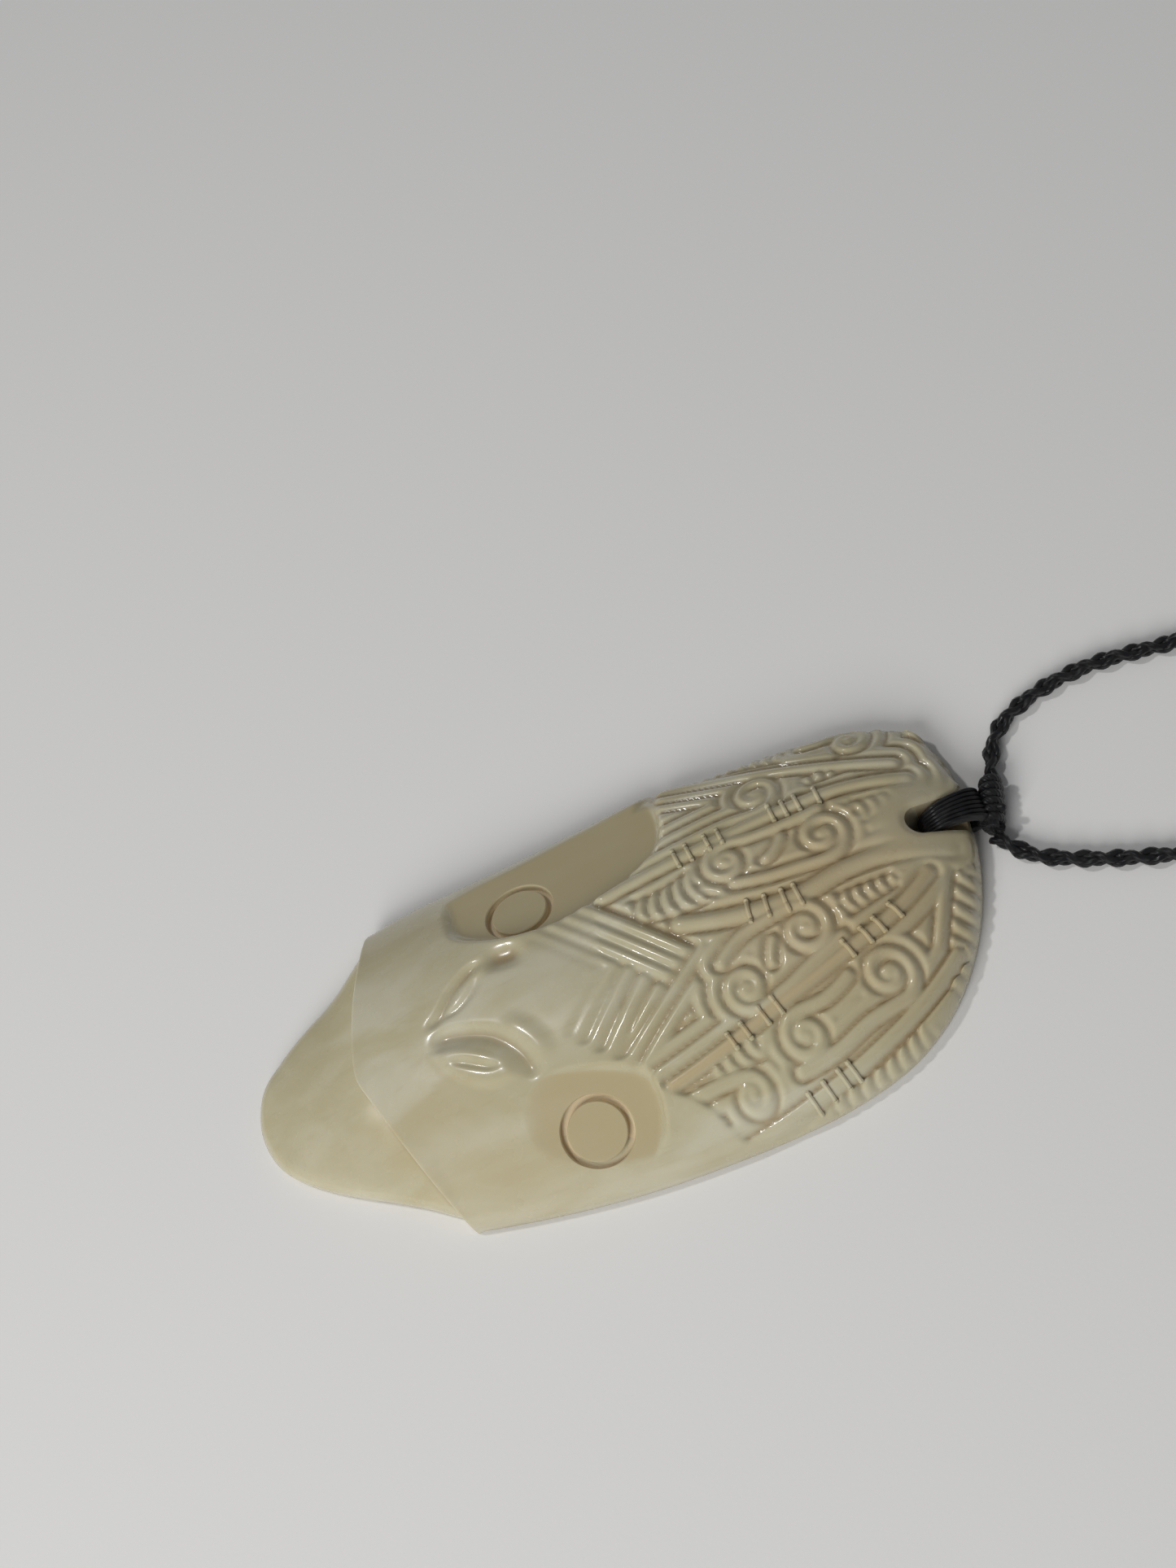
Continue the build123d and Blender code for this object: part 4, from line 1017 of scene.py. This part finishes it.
def ring_cutter(name, along, across, height, lean_out, lean_up):
    """A drilled ring: a small outline spun round the socket's own axis."""
    shape = bmesh.new()
    inner, outer = RING_RADIUS - RING_WIDTH, RING_RADIUS
    wide_inner, wide_outer = inner - RING_CHAMFER, outer + RING_CHAMFER
    outline = ((inner, -RING_DEPTH), (outer, -RING_DEPTH), (outer, -RING_CHAMFER), (wide_outer, 0.01),
               (wide_outer, 1.0), (wide_inner, 1.0), (wide_inner, 0.01), (inner, -RING_CHAMFER))
    corners = [shape.verts.new((r, 0, z)) for r, z in outline]
    edges = [shape.edges.new((a, b)) for a, b in zip(corners, corners[1:] + corners[:1])]
    bmesh.ops.spin(shape, geom=corners + edges, cent=(0, 0, 0), axis=(0, 0, 1), dvec=(0, 0, 0),
                   angle=2 * math.pi, steps=96, use_merge=True, use_duplicate=False)
    bmesh.ops.remove_doubles(shape, verts=shape.verts, dist=WELD)
    middle = Matrix.Translation((*flat(along, across), height))
    return cutter(name, shape, middle @ socket_turn(across, lean_out, lean_up))


def prism(name, outline, low, high):
    """An upright prism on an outline in mm."""
    shape = bmesh.new()
    face = shape.faces.new([shape.verts.new((x, y, low)) for x, y in outline])
    pushed = bmesh.ops.extrude_face_region(shape, geom=[face])["geom"]
    bmesh.ops.translate(shape, verts=[v for v in pushed if isinstance(v, bmesh.types.BMVert)],
                        vec=(0, 0, high - low))
    return cutter(name, shape)


def drill(name, x, y, radius, low, high):
    """A round cutter with 48 sides."""
    shape = bmesh.new()
    bmesh.ops.create_cone(shape, cap_ends=True, segments=48, radius1=radius, radius2=radius, depth=high - low)
    return cutter(name, shape, Matrix.Translation((x, y, (low + high) / 2)))


def boolean(base, others, operation):
    """The base object's mesh after a Boolean with others, which are used up."""
    group = bpy.data.collections.new("tools")
    for other in others:
        group.objects.link(other)
    change = base.modifiers.new("boolean", "BOOLEAN")
    change.operation, change.solver = operation, "EXACT"
    change.operand_type, change.collection = "COLLECTION", group
    graph = bpy.context.evaluated_depsgraph_get()
    mesh = bpy.data.meshes.new_from_object(base.evaluated_get(graph))
    base.modifiers.clear()
    base.data = mesh
    for other in others:
        bpy.data.objects.remove(other)
    bpy.data.collections.remove(group)
    print(base.name, operation, len(mesh.polygons), "faces")


rings = [ring_cutter("ring_" + side, *values[:5]) for side, values in SOCKETS.items()]
hole = drill("hole", SLOT_X, HOLE_Y, HOLE_RADIUS, UNDER_ALL, OVER_ALL)
slot = prism("slot", SLOT_OUTLINE, BRIDGE_TOP, OVER_ALL)
recess = prism("recess", SLOT_OUTLINE[:2] + [(x, SLOT_PAST) for x, _ in SLOT_OUTLINE[1::-1]],
               UNDER_ALL, RECESS_DEPTH)
boolean(face, [tongue, ties], "UNION")
boolean(hole, [slot, recess], "UNION")
boolean(face, [*rings, hole], "DIFFERENCE")
for polygon in face.data.polygons:
    polygon.use_smooth = True
face.data.set_sharp_from_angle(angle=SHARP)
kept(face, "bone", "bone_face")

# %% [markdown]
# ## Bone
#
# Bone that has been worn and polished is cream, clouded with white along its grain. The valleys of the
# carving are tinted a warm tan by their depth: partly the stain that they hold where the polish doesn't
# reach, and partly painted shade. Under the lip, on the tongue, it is painted shade alone. The two facets
# lay open a deeper, olive-tan layer, and the walls of the ring round each eye are painted a peach glow,
# painted light that stands for light through the bone. The carving knows where its valleys are, so each
# point of the mesh gets its own numbers: how deep it lies, how much of a facet, of the ring or of the
# tongue it is, and its share of the rib's stain and of the darker patch. The material mixes its colours by
# them.

# %% Numbers on the bone's points
# A pair says where a soft step begins, in mm, and how far it goes.
LIP_LEVEL, TONGUE_SKIN = (0.0, 0.3), (-0.15, 0.05)  # below the lip's corners, and below the tongue's top
LIP_SHADE, LIP_SHADE_REACH = 0.5, 1.2  # painted shade under the lip: how dark, and how far out
FACET_SKIN, FACET_FLOOR = (-0.14, 0.1), (-0.55, 0.45)  # below the facet's plane, and above it
FACET_DEPTH, SHALLOW_FACET = (-0.21, 0.7), 0.3  # the plane below the dome, and the share at no depth
FACET_CLEAR = 0.7  # mm round a facet without the valleys' tan and painted shade
GROOVE_OUTSIDE, GROOVE_INSIDE = 0.1, 0.3  # mm beside the drilled ring
GROOVE_TOP, GROOVE_BOTTOM = 0.2, 1.3  # mm below the facet
STAINED_RIB, RIB_STAIN = 3, (0.16, 0.8)  # beside the rib
PATCH_DARKENING, PATCH_MIDDLE, PATCH_SIZE = 0.75, (1.5, 26.0), (13, 17)  # a wide, darker patch in the hair
PATCH_ABOVE, PLAIN_BELOW = (4, 12), (1.5, 2.0)  # along the face, and up from its back

points = np.empty(len(face.data.vertices) * 3)
face.data.vertices.foreach_get("co", points)
px, py, pz = points.reshape(-1, 3).T / MM
domed = dome(px, py)
tongue_part = past(flat(FACE[0, 0], 0)[1] - py, *LIP_LEVEL) * past(tongue_top(px, py) - pz, *TONGUE_SKIN)
# Painted shade on the tongue, in the corner under the lip's ledge.
painted_lip_shade = LIP_SHADE * (1 - ease(distance_to(lip_line[::4], px, py)[0] / LIP_SHADE_REACH))
# Tan by depth under the dome: partly the stain that the valleys hold, partly painted shade.
hollow_tan_and_shade = np.where(tongue_part > 0.5, painted_lip_shade, np.clip((domed - pz) / CARVING_DEPTH, 0.0, 1.0))

facet, groove = np.zeros(len(px)), np.zeros(len(px))
for values in SOCKETS.values():
    plane, inside = socket_at(values, px, py)
    depth = SHALLOW_FACET + (1 - SHALLOW_FACET) * past(domed - plane, *FACET_DEPTH)
    on_plane = past(plane - pz, *FACET_SKIN) * past(pz - plane, *FACET_FLOOR)
    facet = np.maximum(facet, past(inside, *SOCKET_EDGE) * on_plane * depth)
    middle = flat(*values[:2])
    from_middle = np.hypot(px - middle[0], py - middle[1])
    # The drilled ring's walls get a painted glow: a peach lighter than the shade they lie in.
    near_ring = ((from_middle < RING_RADIUS + GROOVE_OUTSIDE)
                 & (from_middle > RING_RADIUS - RING_WIDTH - GROOVE_INSIDE))
    below = (pz < np.minimum(plane, domed) - GROOVE_TOP) & (pz > plane - GROOVE_BOTTOM)
    groove = np.where(near_ring & below, 1.0, groove)
    hollow_tan_and_shade = np.where((groove > 0) | (inside > -FACET_CLEAR), 0.0, hollow_tan_and_shade)

from_rib = distance_to(carved_line(RIBS[STAINED_RIB][1]), px, py)[0]
off_patch = ((px - PATCH_MIDDLE[0]) / PATCH_SIZE[0]) ** 2 + ((py - PATCH_MIDDLE[1]) / PATCH_SIZE[1]) ** 2
# A wide, warmer and darker patch in the hair, beside the stain along the rib.
patch_share = np.exp(-off_patch) * past(py, *PATCH_ABOVE)
rib_stain_and_patch = np.maximum(1 - past(from_rib, *RIB_STAIN), PATCH_DARKENING * patch_share)
front_side = past(pz, *PLAIN_BELOW)  # the back and the lowest part of the rim stay plain
numbers = {"hollow_tan_and_shade": hollow_tan_and_shade * front_side, "facet": facet, "groove": groove, "rib_stain_and_patch": rib_stain_and_patch * front_side,
           "tongue": tongue_part}
for name, values in numbers.items():
    layer = face.data.attributes.new(name, "FLOAT", "POINT")
    layer.data.foreach_set("value", values.astype(np.float32))
    print(name, round(float(values.mean()), 2), "on average")

# %% Bone material
CREAM, CLOUD, YELLOW = (0.52, 0.466, 0.298, 1), (0.598, 0.562, 0.413, 1), (0.56, 0.485, 0.28, 1)
TAN, OLIVE, WARM = (0.33, 0.225, 0.11, 1), (0.50, 0.415, 0.24, 1), (0.53, 0.43, 0.25, 1)
# painted light: the peach glow painted on the drilled rings' walls
GROOVE_GLOW = (0.76, 0.63, 0.42, 1)

tree, shader = dressed(face, "polished_bone")
own = {name: node(tree, "ShaderNodeAttribute", attribute_type="GEOMETRY", attribute_name=name).outputs["Fac"]
       for name in numbers}
clouds = noise(tree, (1.0, 0.4, 1.0), 165, 6.0, 0.5)
patches = noise(tree, (1.0, 0.7, 1.0), 38, 2.0)
grain = noise(tree, (1.0, 0.07, 1.0), 1500, 2.0)
colour = CREAM
# The tan by depth is partly the valleys' stain and partly painted shade.
for value, low, high, most, tint in (  # what it follows, from where to where, its largest share
        (clouds, 0.38, 0.70, 1.0, CLOUD), (patches, 0.5, 0.72, 0.35, WARM),
        (own["tongue"], 0.0, 1.0, 0.2, YELLOW), (own["rib_stain_and_patch"], 0.0, 1.0, 0.9, WARM),
        (grain, 0.55, 0.8, 0.10, TAN), (own["hollow_tan_and_shade"], 0.2, 0.95, 0.85, TAN),
        (own["facet"], 0.0, 1.0, 0.8, OLIVE)):
    colour = mixed(tree, spread(tree, value, low, high, 0.0, most), colour, tint)
smudges = spread(tree, noise(tree, (1.0, 1.0, 1.0), 260), 0.3, 0.75, 0.2, 0.32)
duller = node(tree, "ShaderNodeMath", {0: own["facet"], 1: 0.16, 2: smudges}, operation="MULTIPLY_ADD")
wired(shader, {"Base Color": mixed(tree, own["groove"], colour, GROOVE_GLOW), "Roughness": duller.outputs[0],
               "Normal": bump(tree, noise(tree, (1.0, 0.25, 1.0), 900, 4.0), strength=0.15, distance=0.03),
               "Coat Weight": spread(tree, own["facet"], 0.0, 1.0, 0.4, 0.03), "Coat Roughness": 0.08,
               "Subsurface Weight": 0.22, "Subsurface Radius": (1.0, 0.65, 0.35),
               "Subsurface Scale": 1.2 * MM})
print("bone material", len(tree.nodes), "nodes")

# %% [markdown]
# ## Waxed cord
#
# The cord is black polyester, waxed and tightly twisted, so it is dark with a dull, greyish shine that breaks
# up along its fibres. Each strand's UV map runs along it and round it. A wave that slants across the UV map
# therefore winds round the strand as its twist does. The plait, the lashing and the knot share this effect,
# so it is one node group.

# %% Twisted fibre group
fibre = bpy.data.node_groups.new("twisted_fibre", "ShaderNodeTree")
for name, in_out in (("Along", "INPUT"), ("Round", "INPUT"), ("Height", "OUTPUT")):
    fibre.interface.new_socket(name, in_out=in_out, socket_type="NodeSocketFloat")


def reckon(operation, *values):
    """A sum in the group, of sockets and numbers."""
    return node(fibre, "ShaderNodeMath", dict(enumerate(values)), operation=operation).outputs[0]


enter, uv = node(fibre, "NodeGroupInput"), node(fibre, "ShaderNodeUVMap", uv_map="UVMap")
split = node(fibre, "ShaderNodeSeparateXYZ", {"Vector": uv.outputs["UV"]})
slant = reckon("ADD", reckon("MULTIPLY", split.outputs["X"], enter.outputs["Along"]),
               reckon("MULTIPLY", split.outputs["Y"], enter.outputs["Round"]))
wave = reckon("SINE", reckon("MULTIPLY", slant, 2 * math.pi))
node(fibre, "NodeGroupOutput", {"Height": reckon("ADD", reckon("MULTIPLY", wave, 0.5), 0.5)})
print("group", fibre.name, len(fibre.nodes), "nodes")

# %% Cord materials
BLACK, WORN_BLACK = (0.006, 0.006, 0.007, 1), (0.022, 0.021, 0.02, 1)
TWISTS = ((cord_left, 330, 4), (cord_right, 225, 4), (lashing, 9, 5), (knot, 110, 5), (core, 6, 5),
          (bead, 1, 0))  # how often each piece's twist winds along a strand, and round it

for piece, along, round_it in TWISTS:
    tree, shader = dressed(piece, piece.name + "_wax")
    twist = node(tree, "ShaderNodeGroup", {"Along": along, "Round": round_it}, node_tree=fibre)
    wax = noise(tree, (1.0, 1.0, 1.0), 700)
    wired(shader, {"Base Color": mixed(tree, spread(tree, wax, 0.45, 0.75, 0.0, 0.6), BLACK, WORN_BLACK),
                   "Roughness": spread(tree, wax, 0.3, 0.7, 0.34, 0.57),
                   "Normal": bump(tree, twist.outputs["Height"], strength=0.6, distance=0.08),
                   "Sheen Weight": 0.05, "Specular IOR Level": 0.5})
print("cord materials", len(TWISTS))

# %% [markdown]
# ## The clasp
#
# The clasp is a small turned barrel of steel. Its CAD solid has the right shape, so it only gets a material:
# bright metal with fine lines round the barrel from the lathe.

# %% Clasp material
LATHE_DARK, LATHE_BRIGHT = (0.55, 0.55, 0.56, 1), (0.68, 0.68, 0.69, 1)

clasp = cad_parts["clasp"]
tree, shader = dressed(clasp, "turned_steel")
lines = noise(tree, (0.0, 1.0, 0.0), 9000, 2.0)
wired(shader, {"Base Color": mixed(tree, spread(tree, lines, 0.3, 0.7), LATHE_DARK, LATHE_BRIGHT),
               "Roughness": spread(tree, lines, 0.3, 0.7, 0.2, 0.38), "Metallic": 1.0})
print("clasp material", len(tree.nodes), "nodes")
